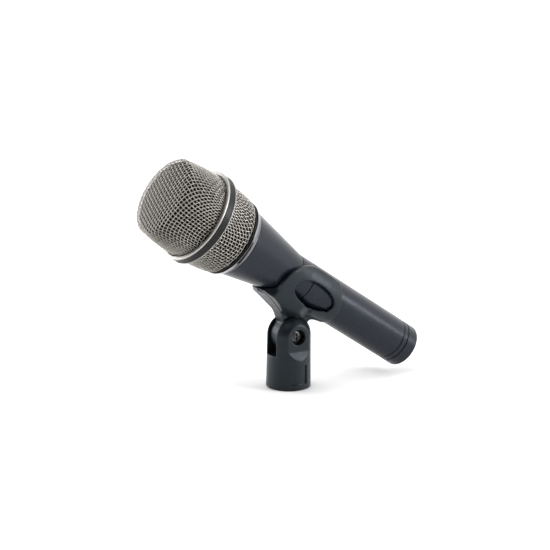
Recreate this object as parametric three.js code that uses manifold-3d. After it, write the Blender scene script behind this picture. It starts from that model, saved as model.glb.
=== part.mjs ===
// Handheld dynamic microphone in its stand clip.
// Millimetres, +Z up. The origin is the centre of the clip's bottom face, on the stand thread's axis.
// The microphone lies in the XZ plane with its head towards -X, and the clip tilts about an axis along Y.
import * as THREE from 'three';
import { mergeVertices } from 'three/addons/utils/BufferGeometryUtils.js';
import Module from 'manifold-3d';

const wasm = await Module();
wasm.setup();

// ---- driving dimensions ----

const TILT_DEG = 32.7; // the microphone's axis above horizontal
const PIVOT_HEIGHT = 28.6; // the clip's tilt axis above its bottom face
const AXIS_OFFSET = 27.3; // the tilt axis to the microphone's axis
const GAP = 0.3; // clearance between neighbouring pieces
const FACETS = 32; // sides of a large round piece
const INNER_FACETS = 20; // sides of a round piece inside the capsule
const SMALL_FACETS = 12; // sides of a small round piece
const CROWN_STEPS = 5; // rows between the grille's tip and its shoulder

// Stations along the microphone's axis, measured from the point nearest to the tilt axis.
const GRILLE_TIP = 110.1;
const GRILLE_SHOULDER = 105.4;
const GRILLE_WAIST = 91.5;
const GRILLE_REAR = 81.3;
const RING_FRONT = 86.0;
const RING_REAR = 80.6;
const REAR_GRILLE_FOOT = 62.6;
const COLLAR_FRONT = 61.3;
const COLLAR_REAR = 57.3;
const NECK_FRONT = 63.0;
const CONE_REAR = 19.6;
const JOINT_RING_REAR = 9.9;
const TUBE_REAR = -60.6;
const TAIL_RING_REAR = -63.95;
const TAIL_END = -71.5;

// Radii of the microphone's body.
const GRILLE_FRONT_RADIUS = 21.5;
const GRILLE_WAIST_RADIUS = 23.3;
const GRILLE_RADIUS = GRILLE_WAIST_RADIUS + 0.05; // where the front grille enters its ring
const GRILLE_WALL = 1.0;
const FOAM_WALL = 3.5;
const SLEEVE_FOAM_WALL = 2.3;
const RING_RADIUS = 25.55;
const RING_BORE = GRILLE_RADIUS + GAP;
const RING_FLOOR = RING_BORE + 0.65; // bottom of the ring's channel
const BAND_RADIUS = 25.35;
const COLLAR_FRONT_RADIUS = 21.2;
const COLLAR_REAR_RADIUS = 19.4;
const COLLAR_BORE = 16.5;
const NECK_RADIUS = COLLAR_BORE - GAP;
const CONE_FRONT_RADIUS = 18.95;
const TUBE_RADIUS = 12.08;
const HANDLE_WALL = 1.9;
const SOCKET_RADIUS = 9.7; // bore that takes the cable's plug
const SPIGOT_RADIUS = 11.0; // the tube's step under the tail ring and the tail cap

// Connector: three pins on one circle.
const PIN_RADIUS = 1.2;
const PIN_CIRCLE_RADIUS = 4.04;
const INSERT_FRONT = -52.0;
const INSERT_REAR = -57.0;
const PIN_REAR = -69.6;

// Capsule.
const CAPSULE_RADIUS = 12.3;
const CAPSULE_REAR = 58.0;
const CAPSULE_FRONT = 84.6;
const CAPSULE_WALL = 1.0;
const YOKE_REAR = 67.0;
const YOKE_FLOOR = 69.5;
const YOKE_FRONT = 79.0;
const MAGNET_RADIUS = 6.0;
const MAGNET_FRONT = 76.5;
const COIL_RADIUS = 7.2;
const COIL_HALF_WALL = 0.3;
const COIL_REAR = 75.5;
const COIL_FRONT = 81.2;
const FILM_FOOT = 81.5;
const COVER_FRONT = 87.4;

// Clip base.
const BASE_BOTTOM_RADIUS = 12.09;
const BASE_TOP_RADIUS = 11.75;
const SLOT_HALF_WIDTH = 4.43;
const SLOT_DEPTH = 10.4; // below the tilt axis
const EAR_FLAT = 9.82; // half the distance between the two outside flats
const RAMP_TOP = 7.8; // below the tilt axis
const RAMP_SLOPE = 4.5 / 2.08;
const COUNTERBORE_RADIUS = 4.15;
const COUNTERBORE_FLOOR = 6.2; // both ears, from the middle of the slot
const NUT_RADIUS = 4.1;
const SCREW_HEAD_RADIUS = 3.6;
const SCREW_HEAD_TOP = 8.0;
const LABEL_HALF_WIDTH = 4.6;
const LABEL_BOTTOM = 3.2;
const LABEL_TOP = 13.4;
const LABEL_FLOOR = 11.2;
const BASE_FACETS = 48;
const SHANK_RADIUS = 2.0;
const INSERT_SLEEVE_RADIUS = 9.5;
const STAND_THREAD_RADIUS = 7.4; // minor radius of the 5/8 inch stand thread
const INSERT_SLEEVE_HEIGHT = 12.2;

// Clip holder.
const SLEEVE_BORE = TUBE_RADIUS + 0.32;
const SLEEVE_RADIUS = 14.9;
const TONGUE_HALF_WIDTH = SLOT_HALF_WIDTH - GAP;
const KNUCKLE_RADIUS = 9.2;
const WINDOW_STATION = 6.2;
const WINDOW_HEIGHT = -4.3;
const WINDOW_HALF_LENGTH = 14.0;
const WINDOW_HALF_HEIGHT = 6.6;
const EAR_CLEARANCE = BASE_TOP_RADIUS + 0.4; // what the bow keeps off the tilt axis
const CONE_SLOPE = (CONE_FRONT_RADIUS - TUBE_RADIUS) / (COLLAR_REAR - GAP - CONE_REAR);

// ---- materials ----

function material(colour, roughness, metalness) {
  return new THREE.MeshStandardMaterial({ color: colour, roughness, metalness });
}

const LACQUER = material(0x3b4049, 0.42, 0.55);
const MESH_NICKEL = material(0xb4ada1, 0.38, 0.9);
const SATIN_NICKEL = material(0xc6c4bd, 0.35, 0.9);
const POLISHED_STEEL = material(0xc2c1c4, 0.15, 1.0);
const BLACK_RUBBER = material(0x29292c, 0.75, 0.0);
const BLACK_FOAM = material(0x1b1b1c, 0.95, 0.0);
const CLIP_PLASTIC = material(0x3a3d41, 0.55, 0.0);
const BLACK_PLASTIC = material(0x1f1f21, 0.5, 0.0);
const BRASS = material(0xb7934d, 0.35, 0.95);
const ZINC_STEEL = material(0x9c9ea1, 0.35, 0.9);
const BLACK_STEEL = material(0x3a3a3c, 0.4, 0.8);
const MAGNET_METAL = material(0x8d8f93, 0.4, 0.85);
const COPPER = material(0xb4713d, 0.4, 0.9);
const CLEAR_FILM = material(0xc9c4b4, 0.3, 0.0);
const BOARD_GREEN = material(0x2f5b3a, 0.6, 0.0);
const RED_WIRE = material(0x9c2b27, 0.55, 0.0);
const WHITE_WIRE = material(0xd8d5cc, 0.55, 0.0);

// ---- shape helpers ----

// Welds a geometry's shared vertices, drops flat triangles and turns the faces outwards.
function weld(geometry) {
  const bare = geometry.clone();
  bare.deleteAttribute('normal');
  bare.deleteAttribute('uv');
  const welded = mergeVertices(bare, 1e-4);
  const position = welded.getAttribute('position');
  const index = welded.getIndex().array;
  const corners = [new THREE.Vector3(), new THREE.Vector3(), new THREE.Vector3()];
  const kept = [];
  let volume = 0;
  for (let i = 0; i < index.length; i += 3) {
    const [a, b, c] = index.slice(i, i + 3);
    if (a === b || b === c || c === a) {
      continue;
    }
    corners[0].fromBufferAttribute(position, a);
    corners[1].fromBufferAttribute(position, b);
    corners[2].fromBufferAttribute(position, c);
    volume += corners[0].dot(corners[1].clone().cross(corners[2]));
    kept.push([a, b, c]);
  }
  const outward = kept.flatMap(([a, b, c]) => (volume < 0 ? [a, c, b] : [a, b, c]));
  welded.setIndex(outward);
  return welded;
}

function toSolid(geometry) {
  const welded = weld(geometry);
  const vertProperties = new Float32Array(welded.getAttribute('position').array);
  const triVerts = new Uint32Array(welded.getIndex().array);
  return new wasm.Manifold(new wasm.Mesh({ numProp: 3, vertProperties, triVerts }));
}

function toGeometry(solid) {
  const mesh = solid.getMesh();
  const geometry = new THREE.BufferGeometry();
  const position = new THREE.BufferAttribute(new Float32Array(mesh.vertProperties), 3);
  geometry.setAttribute('position', position);
  geometry.setIndex(new THREE.BufferAttribute(new Uint32Array(mesh.triVerts), 1));
  return geometry;
}

function cut(geometry, ...tools) {
  const solid = tools.reduce((left, tool) => left.subtract(toSolid(tool)), toSolid(geometry));
  return toGeometry(solid);
}

function join(...geometries) {
  const [first, ...others] = geometries.map(toSolid);
  return toGeometry(others.reduce((sum, solid) => sum.add(solid), first));
}

function common(first, second) {
  return toGeometry(toSolid(first).intersect(toSolid(second)));
}

// Turns a profile of [radius, height] points around Z.
function revolve(profile, facets = FACETS) {
  const points = profile.map(([radius, height]) => new THREE.Vector2(radius, height));
  return new THREE.LatheGeometry(points, facets).rotateX(Math.PI / 2);
}

// A ring or tube: [outer radius, height] points, then [inner radius, height] points back to the start.
function revolveRing(profile, facets = FACETS) {
  return revolve([...profile, profile[0]], facets);
}

function tube(outer, inner, bottom, top, facets = FACETS) {
  return revolveRing([[outer, bottom], [outer, top], [inner, top], [inner, bottom]], facets);
}

function rod(radius, bottom, top, facets = SMALL_FACETS) {
  return revolve([[0, bottom], [radius, bottom], [radius, top], [0, top]], facets);
}

function block(minimum, maximum) {
  const size = maximum.map((high, i) => high - minimum[i]);
  const centre = maximum.map((high, i) => (high + minimum[i]) / 2);
  return new THREE.BoxGeometry(...size).translate(...centre);
}

// A round bar along Y between two places, centred on the tilt axis of the frame it is made in.
function barAlongY(radius, from, to, facets = SMALL_FACETS) {
  return rod(radius, from, to, facets).rotateX(-Math.PI / 2);
}

// Extrudes an outline of [height, sideways] points of the microphone's own frame along its Y axis.
function sideOutline(shape, halfWidth) {
  const options = { depth: 2 * halfWidth, bevelEnabled: false, curveSegments: 8 };
  const geometry = new THREE.ExtrudeGeometry(shape, options);
  geometry.translate(0, 0, -halfWidth);
  const axes = new THREE.Matrix4().makeBasis(
    new THREE.Vector3(0, 0, 1),
    new THREE.Vector3(1, 0, 0),
    new THREE.Vector3(0, 1, 0),
  );
  return geometry.applyMatrix4(axes);
}

function tubeAlong(points, radius, sides, steps) {
  const angles = Array.from({ length: sides }, (_, i) => (2 * Math.PI * i) / sides);
  const corners = angles.map((a) => new THREE.Vector2(radius * Math.cos(a), radius * Math.sin(a)));
  const section = new THREE.Shape(corners);
  const path = new THREE.CatmullRomCurve3(points.map(([x, y, z]) => new THREE.Vector3(x, y, z)));
  return new THREE.ExtrudeGeometry(section, { steps, extrudePath: path, bevelEnabled: false });
}

function piece(name, geometry, finish) {
  const mesh = new THREE.Mesh(weld(geometry), finish);
  mesh.name = name;
  return mesh;
}

// ---- head: grilles, ring, band, collar ----

// The grille's front: nearly flat in the middle, turning into the side through a full corner.
function grilleCrown(inset) {
  const tip = GRILLE_TIP - inset;
  const shoulder = GRILLE_SHOULDER - inset / 2;
  const points = [];
  for (let i = 0; i <= CROWN_STEPS; i += 1) {
    const depth = (i / CROWN_STEPS) ** 1.5;
    const reach = (1 - (1 - depth) ** 3.5) ** (1 / 1.6);
    points.push([(GRILLE_FRONT_RADIUS - inset) * reach, tip - (tip - shoulder) * depth]);
  }
  return points;
}

function grilleOutline(inset, rear) {
  return [
    ...grilleCrown(inset),
    [GRILLE_WAIST_RADIUS - inset, GRILLE_WAIST],
    [GRILLE_RADIUS - inset, rear],
  ];
}

function grilleShell(inset, wall, rear) {
  const outer = grilleOutline(inset, rear);
  const inner = grilleOutline(inset + wall, rear).reverse();
  return revolve([...outer, ...inner]);
}

function frontGrille() {
  return grilleShell(0, GRILLE_WALL, GRILLE_REAR);
}

function foamLiner() {
  return grilleShell(GRILLE_WALL + GAP, FOAM_WALL, GRILLE_REAR + 1);
}

// A channel section: front flange, hoop and rear rim, with the bumper band in the channel.
function grilleRing() {
  return revolveRing([
    [RING_BORE, RING_REAR],
    [BAND_RADIUS, RING_REAR],
    [BAND_RADIUS, RING_REAR + 0.45],
    [RING_FLOOR, RING_REAR + 0.45],
    [RING_FLOOR, RING_FRONT - 0.9],
    [RING_RADIUS - 0.1, RING_FRONT - 0.9],
    [RING_RADIUS, RING_FRONT - 0.5],
    [RING_RADIUS - 0.6, RING_FRONT],
    [RING_BORE, RING_FRONT],
  ]);
}

function bumperBand() {
  return tube(BAND_RADIUS, RING_FLOOR + GAP, RING_REAR + 0.6, RING_FRONT - 1.05);
}

// The rear grille's outside, from its front edge back to the flat foot that the neck passes through.
const REAR_GRILLE_OUTLINE = [
  [23.8, RING_REAR - GAP],
  [23.15, 74.0],
  [22.6, 68.5],
  [21.8, 64.0],
  [21.2, 63.0],
  [20.4, REAR_GRILLE_FOOT],
];

function rearGrille() {
  const inner = REAR_GRILLE_OUTLINE.map(([radius, station]) => [radius - GRILLE_WALL, station]).reverse();
  inner[0][1] += 0.6;
  return revolveRing([...REAR_GRILLE_OUTLINE, ...inner]);
}

// A foam sleeve against the inside of the rear grille, clear of the neck and the capsule.
function foamSleeve() {
  const outer = REAR_GRILLE_OUTLINE.slice(0, 4).map(([radius, station]) => [
    radius - GRILLE_WALL - GAP,
    station,
  ]);
  outer[0][1] -= 0.7;
  const inner = outer.map(([radius, station]) => [radius - SLEEVE_FOAM_WALL, station]).reverse();
  return revolveRing([...outer, ...inner]);
}

function baseGasket() {
  return tube(20.7, NECK_RADIUS + GAP, COLLAR_FRONT + 0.25, REAR_GRILLE_FOOT - 0.3);
}

function collarRing() {
  return revolveRing([
    [COLLAR_REAR_RADIUS - 0.3, COLLAR_REAR],
    [COLLAR_REAR_RADIUS, COLLAR_REAR + 0.3],
    [COLLAR_FRONT_RADIUS, COLLAR_FRONT - 0.4],
    [COLLAR_FRONT_RADIUS - 0.4, COLLAR_FRONT],
    [COLLAR_BORE, COLLAR_FRONT],
    [COLLAR_BORE, COLLAR_REAR],
  ]);
}

// ---- handle ----

function handleFront() {
  const coneFront = COLLAR_REAR - GAP;
  return revolveRing([
    [TUBE_RADIUS, CONE_REAR],
    [TUBE_RADIUS + 0.1, CONE_REAR + 0.2],
    [CONE_FRONT_RADIUS, coneFront - 0.3],
    [CONE_FRONT_RADIUS - 0.3, coneFront],
    [NECK_RADIUS, coneFront],
    [NECK_RADIUS, NECK_FRONT],
    [NECK_RADIUS - 1.3, NECK_FRONT],
    [NECK_RADIUS - 1.3, coneFront - 4],
    [TUBE_RADIUS - HANDLE_WALL, CONE_REAR],
  ]);
}

// The ring between cone and tube, with a sleeve inside that centres both.
function jointRing() {
  const sleeve = SOCKET_RADIUS - GAP;
  return revolveRing([
    [sleeve, JOINT_RING_REAR - 6],
    [sleeve, JOINT_RING_REAR],
    [TUBE_RADIUS, JOINT_RING_REAR],
    [TUBE_RADIUS, CONE_REAR - GAP],
    [sleeve, CONE_REAR - GAP],
    [sleeve, CONE_REAR + 5],
    [sleeve - 1.2, CONE_REAR + 5],
    [sleeve - 1.2, JOINT_RING_REAR - 6],
  ]);
}

function handleRear() {
  const front = JOINT_RING_REAR - GAP;
  const shell = revolveRing([
    [SPIGOT_RADIUS, TAIL_END + 2.5],
    [SPIGOT_RADIUS, TUBE_REAR],
    [TUBE_RADIUS, TUBE_REAR],
    [TUBE_RADIUS, front],
    [SOCKET_RADIUS, front],
    [SOCKET_RADIUS, TAIL_END + 2.5],
  ]);
  return cut(shell, setScrewBar(1.5, SOCKET_RADIUS - 1, TUBE_RADIUS + 1));
}

function tailRing() {
  return tube(TUBE_RADIUS - 0.05, SPIGOT_RADIUS + GAP, TAIL_RING_REAR, TUBE_REAR - 0.35);
}

function tailCap() {
  const front = TAIL_RING_REAR - 0.35;
  return revolveRing([
    [SPIGOT_RADIUS + GAP, front],
    [TUBE_RADIUS, front],
    [TUBE_RADIUS, TAIL_END + 1.4],
    [TUBE_RADIUS - 0.4, TAIL_END + 0.4],
    [TUBE_RADIUS - 1.4, TAIL_END],
    [SOCKET_RADIUS, TAIL_END],
    [SOCKET_RADIUS, TAIL_END + 2.2],
    [SPIGOT_RADIUS + GAP, TAIL_END + 2.2],
  ]);
}

// ---- connector ----

// Two pins lie in the XZ plane and the third on the side away from the screw head.
const PIN_PLACES = [
  [PIN_CIRCLE_RADIUS, 0],
  [-PIN_CIRCLE_RADIUS, 0],
  [0, PIN_CIRCLE_RADIUS],
];

function connectorInsert() {
  const disc = rod(SOCKET_RADIUS - GAP, INSERT_REAR, INSERT_FRONT, FACETS);
  const holes = PIN_PLACES.map(([x, y]) =>
    rod(PIN_RADIUS + GAP, INSERT_REAR - 1, INSERT_FRONT + 1).translate(x, y, 0),
  );
  return cut(disc, ...holes);
}

function connectorPin([x, y]) {
  const tip = 0.5;
  return revolve([
    [0, PIN_REAR],
    [PIN_RADIUS - tip, PIN_REAR],
    [PIN_RADIUS, PIN_REAR + tip],
    [PIN_RADIUS, INSERT_FRONT + 3],
    [0, INSERT_FRONT + 3],
  ], SMALL_FACETS).translate(x, y, 0);
}

function setScrewBar(radius, from, to) {
  const station = (INSERT_FRONT + INSERT_REAR) / 2;
  return barAlongY(radius, from, to).translate(0, 0, station);
}

function connectorSetScrew() {
  const screw = setScrewBar(1.2, SOCKET_RADIUS + 0.1, TUBE_RADIUS - 0.2);
  const slot = block([-1.5, TUBE_RADIUS - 0.7, -0.25], [1.5, TUBE_RADIUS, 0.25]);
  return cut(screw, slot.translate(0, 0, (INSERT_FRONT + INSERT_REAR) / 2));
}

function signalLead(start, end, side) {
  const points = [
    [start[0], start[1], CAPSULE_REAR + 2.2],
    [start[0], start[1], CAPSULE_REAR - 4],
    [side * 4, 2, 40],
    [side * 2, -2, 15],
    [side * 3, 1, -15],
    [end[0], end[1], INSERT_FRONT + 9],
    [end[0], end[1], INSERT_FRONT + 3 + GAP],
  ];
  return tubeAlong(points, 0.6, 6, 20);
}

// ---- capsule ----

// A rubber cup between the handle's neck and the capsule.
function shockMount() {
  const outer = NECK_RADIUS - 1.3 - GAP;
  const inner = CAPSULE_RADIUS + GAP;
  return revolveRing([
    [outer, CAPSULE_REAR - 2.5],
    [outer, NECK_FRONT + 1],
    [NECK_RADIUS - 0.3, NECK_FRONT + 1],
    [NECK_RADIUS - 0.3, NECK_FRONT + 3],
    [inner, NECK_FRONT + 3],
    [inner, CAPSULE_REAR - 0.5],
    [inner - 2.5, CAPSULE_REAR - 0.5],
    [inner - 2.5, CAPSULE_REAR - 2.5],
  ], INNER_FACETS);
}

function capsuleHousing() {
  const bore = CAPSULE_RADIUS - CAPSULE_WALL;
  return tube(CAPSULE_RADIUS, bore, CAPSULE_REAR, CAPSULE_FRONT, INNER_FACETS);
}

function terminalBoard() {
  const outer = CAPSULE_RADIUS - CAPSULE_WALL - GAP;
  return tube(outer, 2, CAPSULE_REAR + 2.5, CAPSULE_REAR + 4.1, INNER_FACETS);
}

function yoke() {
  const outer = CAPSULE_RADIUS - CAPSULE_WALL - GAP;
  return revolve([
    [0, YOKE_REAR],
    [outer, YOKE_REAR],
    [outer, YOKE_FRONT],
    [COIL_RADIUS + 1, YOKE_FRONT],
    [COIL_RADIUS + 1, YOKE_FLOOR],
    [0, YOKE_FLOOR],
  ], INNER_FACETS);
}

function magnet() {
  return rod(MAGNET_RADIUS, YOKE_FLOOR + GAP, MAGNET_FRONT, INNER_FACETS);
}

function polePiece() {
  const radius = COIL_RADIUS - COIL_HALF_WALL - 0.5;
  return rod(radius, MAGNET_FRONT + GAP, YOKE_FRONT, INNER_FACETS);
}

function voiceCoil() {
  const outer = COIL_RADIUS + COIL_HALF_WALL;
  return tube(outer, COIL_RADIUS - COIL_HALF_WALL, COIL_REAR, COIL_FRONT, INNER_FACETS);
}

// A thin dome over the coil with a shallow surround.
function diaphragm() {
  const film = 0.25;
  const upper = [
    [0, FILM_FOOT + 1.9],
    [3.5, FILM_FOOT + 1.5],
    [COIL_RADIUS + 0.4, FILM_FOOT + film],
    [9.4, FILM_FOOT + 0.7],
    [11.0, FILM_FOOT + film],
  ];
  const lower = upper.map(([radius, station]) => [radius, station - film]).reverse();
  return revolve([...upper, ...lower], INNER_FACETS);
}

// The capsule's perforated front, screwed over the diaphragm.
function capsuleCover() {
  const inside = CAPSULE_RADIUS - CAPSULE_WALL - 0.2;
  const shell = revolve([
    [0, COVER_FRONT],
    [9, COVER_FRONT],
    [CAPSULE_RADIUS, COVER_FRONT - 1],
    [CAPSULE_RADIUS, CAPSULE_FRONT + GAP],
    [inside, CAPSULE_FRONT + GAP],
    [inside, COVER_FRONT - 1.7],
    [0, COVER_FRONT - 1.2],
  ], INNER_FACETS);
  const holes = Array.from({ length: 6 }, (_, i) => {
    const angle = (2 * Math.PI * i) / 6;
    const hole = rod(1.5, COVER_FRONT - 3, COVER_FRONT + 1, 8);
    return hole.translate(6 * Math.cos(angle), 6 * Math.sin(angle), 0);
  });
  return cut(shell, ...holes);
}

// ---- clip base ----

function baseBody() {
  const crown = Array.from({ length: 8 }, (_, i) => {
    const angle = (Math.PI / 2) * (i / 8);
    return [BASE_TOP_RADIUS * Math.cos(angle), PIVOT_HEIGHT + BASE_TOP_RADIUS * Math.sin(angle)];
  });
  const top = [0, PIVOT_HEIGHT + BASE_TOP_RADIUS];
  return revolve([[0, 0], [BASE_BOTTOM_RADIUS, 0], ...crown, top], BASE_FACETS);
}

// What is cut away beside one ear: a flat above, and a ramp that runs out through the round side.
function earCutter(side) {
  const rampFoot = 14;
  const reach = 30;
  const top = 50;
  const outside = EAR_FLAT + (PIVOT_HEIGHT - RAMP_TOP - rampFoot) / RAMP_SLOPE;
  const outline = new THREE.Shape([
    new THREE.Vector2(EAR_FLAT, top),
    new THREE.Vector2(EAR_FLAT, PIVOT_HEIGHT - RAMP_TOP),
    new THREE.Vector2(outside, rampFoot),
    new THREE.Vector2(reach, rampFoot),
    new THREE.Vector2(reach, top),
  ]);
  const options = { depth: 2 * reach, bevelEnabled: false };
  const slab = new THREE.ExtrudeGeometry(outline, options).translate(0, 0, -reach);
  const turn = new THREE.Matrix4().makeBasis(
    new THREE.Vector3(0, side, 0),
    new THREE.Vector3(0, 0, 1),
    new THREE.Vector3(side, 0, 0),
  );
  return slab.applyMatrix4(turn);
}

// The holes for the pivot screw: its shank's, its head's on the -Y side and its nut's on the other.
function pivotHoles() {
  const holes = [
    barAlongY(SHANK_RADIUS + GAP, -20, 20),
    barAlongY(COUNTERBORE_RADIUS, -20, -COUNTERBORE_FLOOR, 24),
    barAlongY(NUT_RADIUS + 0.4, COUNTERBORE_FLOOR, 20, 6),
  ];
  return holes.map((hole) => hole.translate(0, 0, PIVOT_HEIGHT));
}

function clipBase() {
  const slot = block([-20, -SLOT_HALF_WIDTH, PIVOT_HEIGHT - SLOT_DEPTH], [20, SLOT_HALF_WIDTH, 60]);
  const labelRecess = block(
    [-LABEL_HALF_WIDTH, -20, LABEL_BOTTOM],
    [LABEL_HALF_WIDTH, -LABEL_FLOOR, LABEL_TOP],
  );
  const pocket = rod(INSERT_SLEEVE_RADIUS + GAP, -1, INSERT_SLEEVE_HEIGHT + GAP, FACETS);
  const relief = rod(STAND_THREAD_RADIUS, -1, INSERT_SLEEVE_HEIGHT + 3.3, FACETS);
  const cutters = [slot, earCutter(-1), earCutter(1), labelRecess, pocket, relief, ...pivotHoles()];
  return cut(baseBody(), ...cutters);
}

function threadInsert() {
  return tube(INSERT_SLEEVE_RADIUS, STAND_THREAD_RADIUS, 0.3, INSERT_SLEEVE_HEIGHT);
}

function pivotScrew() {
  const headFoot = -COUNTERBORE_FLOOR - GAP;
  const head = barAlongY(SCREW_HEAD_RADIUS, -SCREW_HEAD_TOP, headFoot, 24);
  const shank = barAlongY(SHANK_RADIUS, headFoot - 0.5, 9.0);
  const front = -SCREW_HEAD_TOP - 1;
  const back = -SCREW_HEAD_TOP + 0.9;
  const crossArms = [
    block([-2, front, -0.4], [2, back, 0.4]),
    block([-0.4, front, -2], [0.4, back, 2]),
  ];
  return cut(join(head, shank), ...crossArms).translate(0, 0, PIVOT_HEIGHT);
}

function pivotNut() {
  const blank = barAlongY(NUT_RADIUS, COUNTERBORE_FLOOR + GAP, 9.3, 6);
  const bore = barAlongY(SHANK_RADIUS + GAP, 5, 11);
  return cut(blank, bore).translate(0, 0, PIVOT_HEIGHT);
}

// ---- clip holder ----

function sleeveOutside() {
  return revolve([
    [0, -16],
    [12.9, -16],
    [13.4, -12],
    [14.1, -6],
    [14.7, 0],
    [SLEEVE_RADIUS, 6],
    [SLEEVE_RADIUS, 14],
    [15.4, 20],
    [16.9, 31],
    [0, 31],
  ], BASE_FACETS);
}

function sleeveInside() {
  const front = 33;
  return revolve([
    [0, -20],
    [SLEEVE_BORE, -20],
    [SLEEVE_BORE, CONE_REAR],
    [SLEEVE_BORE + CONE_SLOPE * (front - CONE_REAR), front],
    [0, front],
  ], BASE_FACETS);
}

// Side view of the two arms: straight along the top, with round lobes in front and behind.
function armOutline() {
  const shape = new THREE.Shape();
  shape.moveTo(-6.5, 10.2);
  shape.lineTo(9.5, 10.2);
  shape.bezierCurveTo(19, 9.6, 28.6, 2, 28.6, -6);
  shape.bezierCurveTo(28.6, -12, 22, -15.5, 17, -18);
  shape.lineTo(-14, -18);
  shape.bezierCurveTo(-14.5, -14, -15.5, -8, -12.5, -2);
  shape.bezierCurveTo(-10, 3, -9.5, 8.5, -6.5, 10.2);
  return shape;
}

function windowOutline() {
  const shape = new THREE.Shape();
  const angle = 2 * Math.PI;
  shape.absellipse(WINDOW_STATION, WINDOW_HEIGHT, WINDOW_HALF_LENGTH, WINDOW_HALF_HEIGHT, 0, angle, false, 0);
  return shape;
}

// The keel under the sleeve: from the front lip down to the tongue and back up behind it.
function keelOutline() {
  const shape = new THREE.Shape();
  shape.moveTo(30.6, -13);
  shape.lineTo(30.9, -15.2);
  shape.bezierCurveTo(22, -16.6, 13, -18, 9.2, -24);
  shape.lineTo(KNUCKLE_RADIUS, -AXIS_OFFSET);
  shape.absarc(0, -AXIS_OFFSET, KNUCKLE_RADIUS, 0, Math.PI, true);
  shape.bezierCurveTo(-9.2, -21.5, -3, -18, -5, -15.5);
  shape.lineTo(-10.5, -12.5);
  return shape;
}

// Side view of the bow in front of the keel.
function bowOutline() {
  const shape = new THREE.Shape();
  shape.moveTo(29.6, -8);
  shape.lineTo(30.4, -12.6);
  shape.lineTo(30.9, -15.2);
  shape.bezierCurveTo(22, -16.6, 13, -18, 9.2, -24);
  shape.lineTo(6.6, -22.6);
  shape.bezierCurveTo(6, -18, 4, -12, 3, -8);
  return shape;
}

// The bow that joins the arms to the tongue, widening upwards, with room for the base's ears.
function bow() {
  const side = [
    [TONGUE_HALF_WIDTH, -26],
    [TONGUE_HALF_WIDTH, -19.3],
    [6.3, -18],
    [9, -16.2],
    [11.2, -13.4],
    [12.6, -10.5],
    [12.9, -7],
  ];
  const points = [...side, ...side.map(([width, height]) => [-width, height]).reverse()];
  const outline = new THREE.Shape(points.map(([width, height]) => new THREE.Vector2(height, width)));
  const bar = new THREE.ExtrudeGeometry(outline, { depth: 40, bevelEnabled: false });
  const ears = new THREE.SphereGeometry(EAR_CLEARANCE, 24, 16).translate(-AXIS_OFFSET, 0, 0);
  const neck = common(sideOutline(bowOutline(), TONGUE_HALF_WIDTH), bar);
  return join(cut(common(sideOutline(bowOutline(), 13), bar), ears), neck);
}

function clipHolder() {
  const sleeve = common(sleeveOutside(), sideOutline(armOutline(), 30));
  const keel = sideOutline(keelOutline(), TONGUE_HALF_WIDTH);
  const windows = sideOutline(windowOutline(), 30);
  const inWindow = block([-SLEEVE_BORE - 6, -TONGUE_HALF_WIDTH, -20], [-11, TONGUE_HALF_WIDTH, 40]);
  const pivotHole = barAlongY(SHANK_RADIUS + GAP, -10, 10).translate(-AXIS_OFFSET, 0, 0);
  const body = join(sleeve, keel, bow());
  return cut(body, sleeveInside(), cut(windows, inWindow), pivotHole);
}

// ---- assembly ----

const microphone = new THREE.Group();
microphone.add(
  piece('front_grille', frontGrille(), MESH_NICKEL),
  piece('foam_liner', foamLiner(), BLACK_FOAM),
  piece('grille_ring', grilleRing(), SATIN_NICKEL),
  piece('bumper_band', bumperBand(), BLACK_RUBBER),
  piece('rear_grille', rearGrille(), MESH_NICKEL),
  piece('foam_sleeve', foamSleeve(), BLACK_FOAM),
  piece('base_gasket', baseGasket(), BLACK_RUBBER),
  piece('collar_ring', collarRing(), POLISHED_STEEL),
  piece('handle_front', handleFront(), LACQUER),
  piece('joint_ring', jointRing(), LACQUER),
  piece('handle_rear', handleRear(), LACQUER),
  piece('tail_ring', tailRing(), LACQUER),
  piece('tail_cap', tailCap(), LACQUER),
  piece('connector_insert', connectorInsert(), BLACK_PLASTIC),
  ...PIN_PLACES.map((place, i) => piece(`connector_pin_${i + 1}`, connectorPin(place), SATIN_NICKEL)),
  piece('connector_set_screw', connectorSetScrew(), ZINC_STEEL),
  piece('signal_lead_hot', signalLead([-5, -3], PIN_PLACES[1], -1), RED_WIRE),
  piece('signal_lead_cold', signalLead([5, 3], PIN_PLACES[2], 1), WHITE_WIRE),
  piece('shock_mount', shockMount(), BLACK_RUBBER),
  piece('capsule_housing', capsuleHousing(), ZINC_STEEL),
  piece('terminal_board', terminalBoard(), BOARD_GREEN),
  piece('magnet_yoke', yoke(), MAGNET_METAL),
  piece('magnet', magnet(), MAGNET_METAL),
  piece('pole_piece', polePiece(), MAGNET_METAL),
  piece('voice_coil', voiceCoil(), COPPER),
  piece('diaphragm', diaphragm(), CLEAR_FILM),
  piece('capsule_cover', capsuleCover(), ZINC_STEEL),
  piece('clip_holder', clipHolder(), CLIP_PLASTIC),
);

// The microphone's own frame has Z along its axis towards the head and X square to it, upwards.
const tilt = THREE.MathUtils.degToRad(TILT_DEG);
microphone.rotation.y = tilt - Math.PI / 2;
microphone.position.set(AXIS_OFFSET * Math.sin(tilt), 0, PIVOT_HEIGHT + AXIS_OFFSET * Math.cos(tilt));

const part = new THREE.Group();
part.add(
  microphone,
  piece('clip_base', clipBase(), CLIP_PLASTIC),
  piece('thread_insert', threadInsert(), BRASS),
  piece('pivot_screw', pivotScrew(), BLACK_STEEL),
  piece('pivot_nut', pivotNut(), ZINC_STEEL),
);

export default part;
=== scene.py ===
"""Handheld dynamic microphone in its stand clip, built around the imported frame."""

import math

import bpy
import numpy as np
from bpy.props import FloatProperty, FloatVectorProperty, IntProperty, PointerProperty
from mathutils import Matrix, Vector, noise


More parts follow.
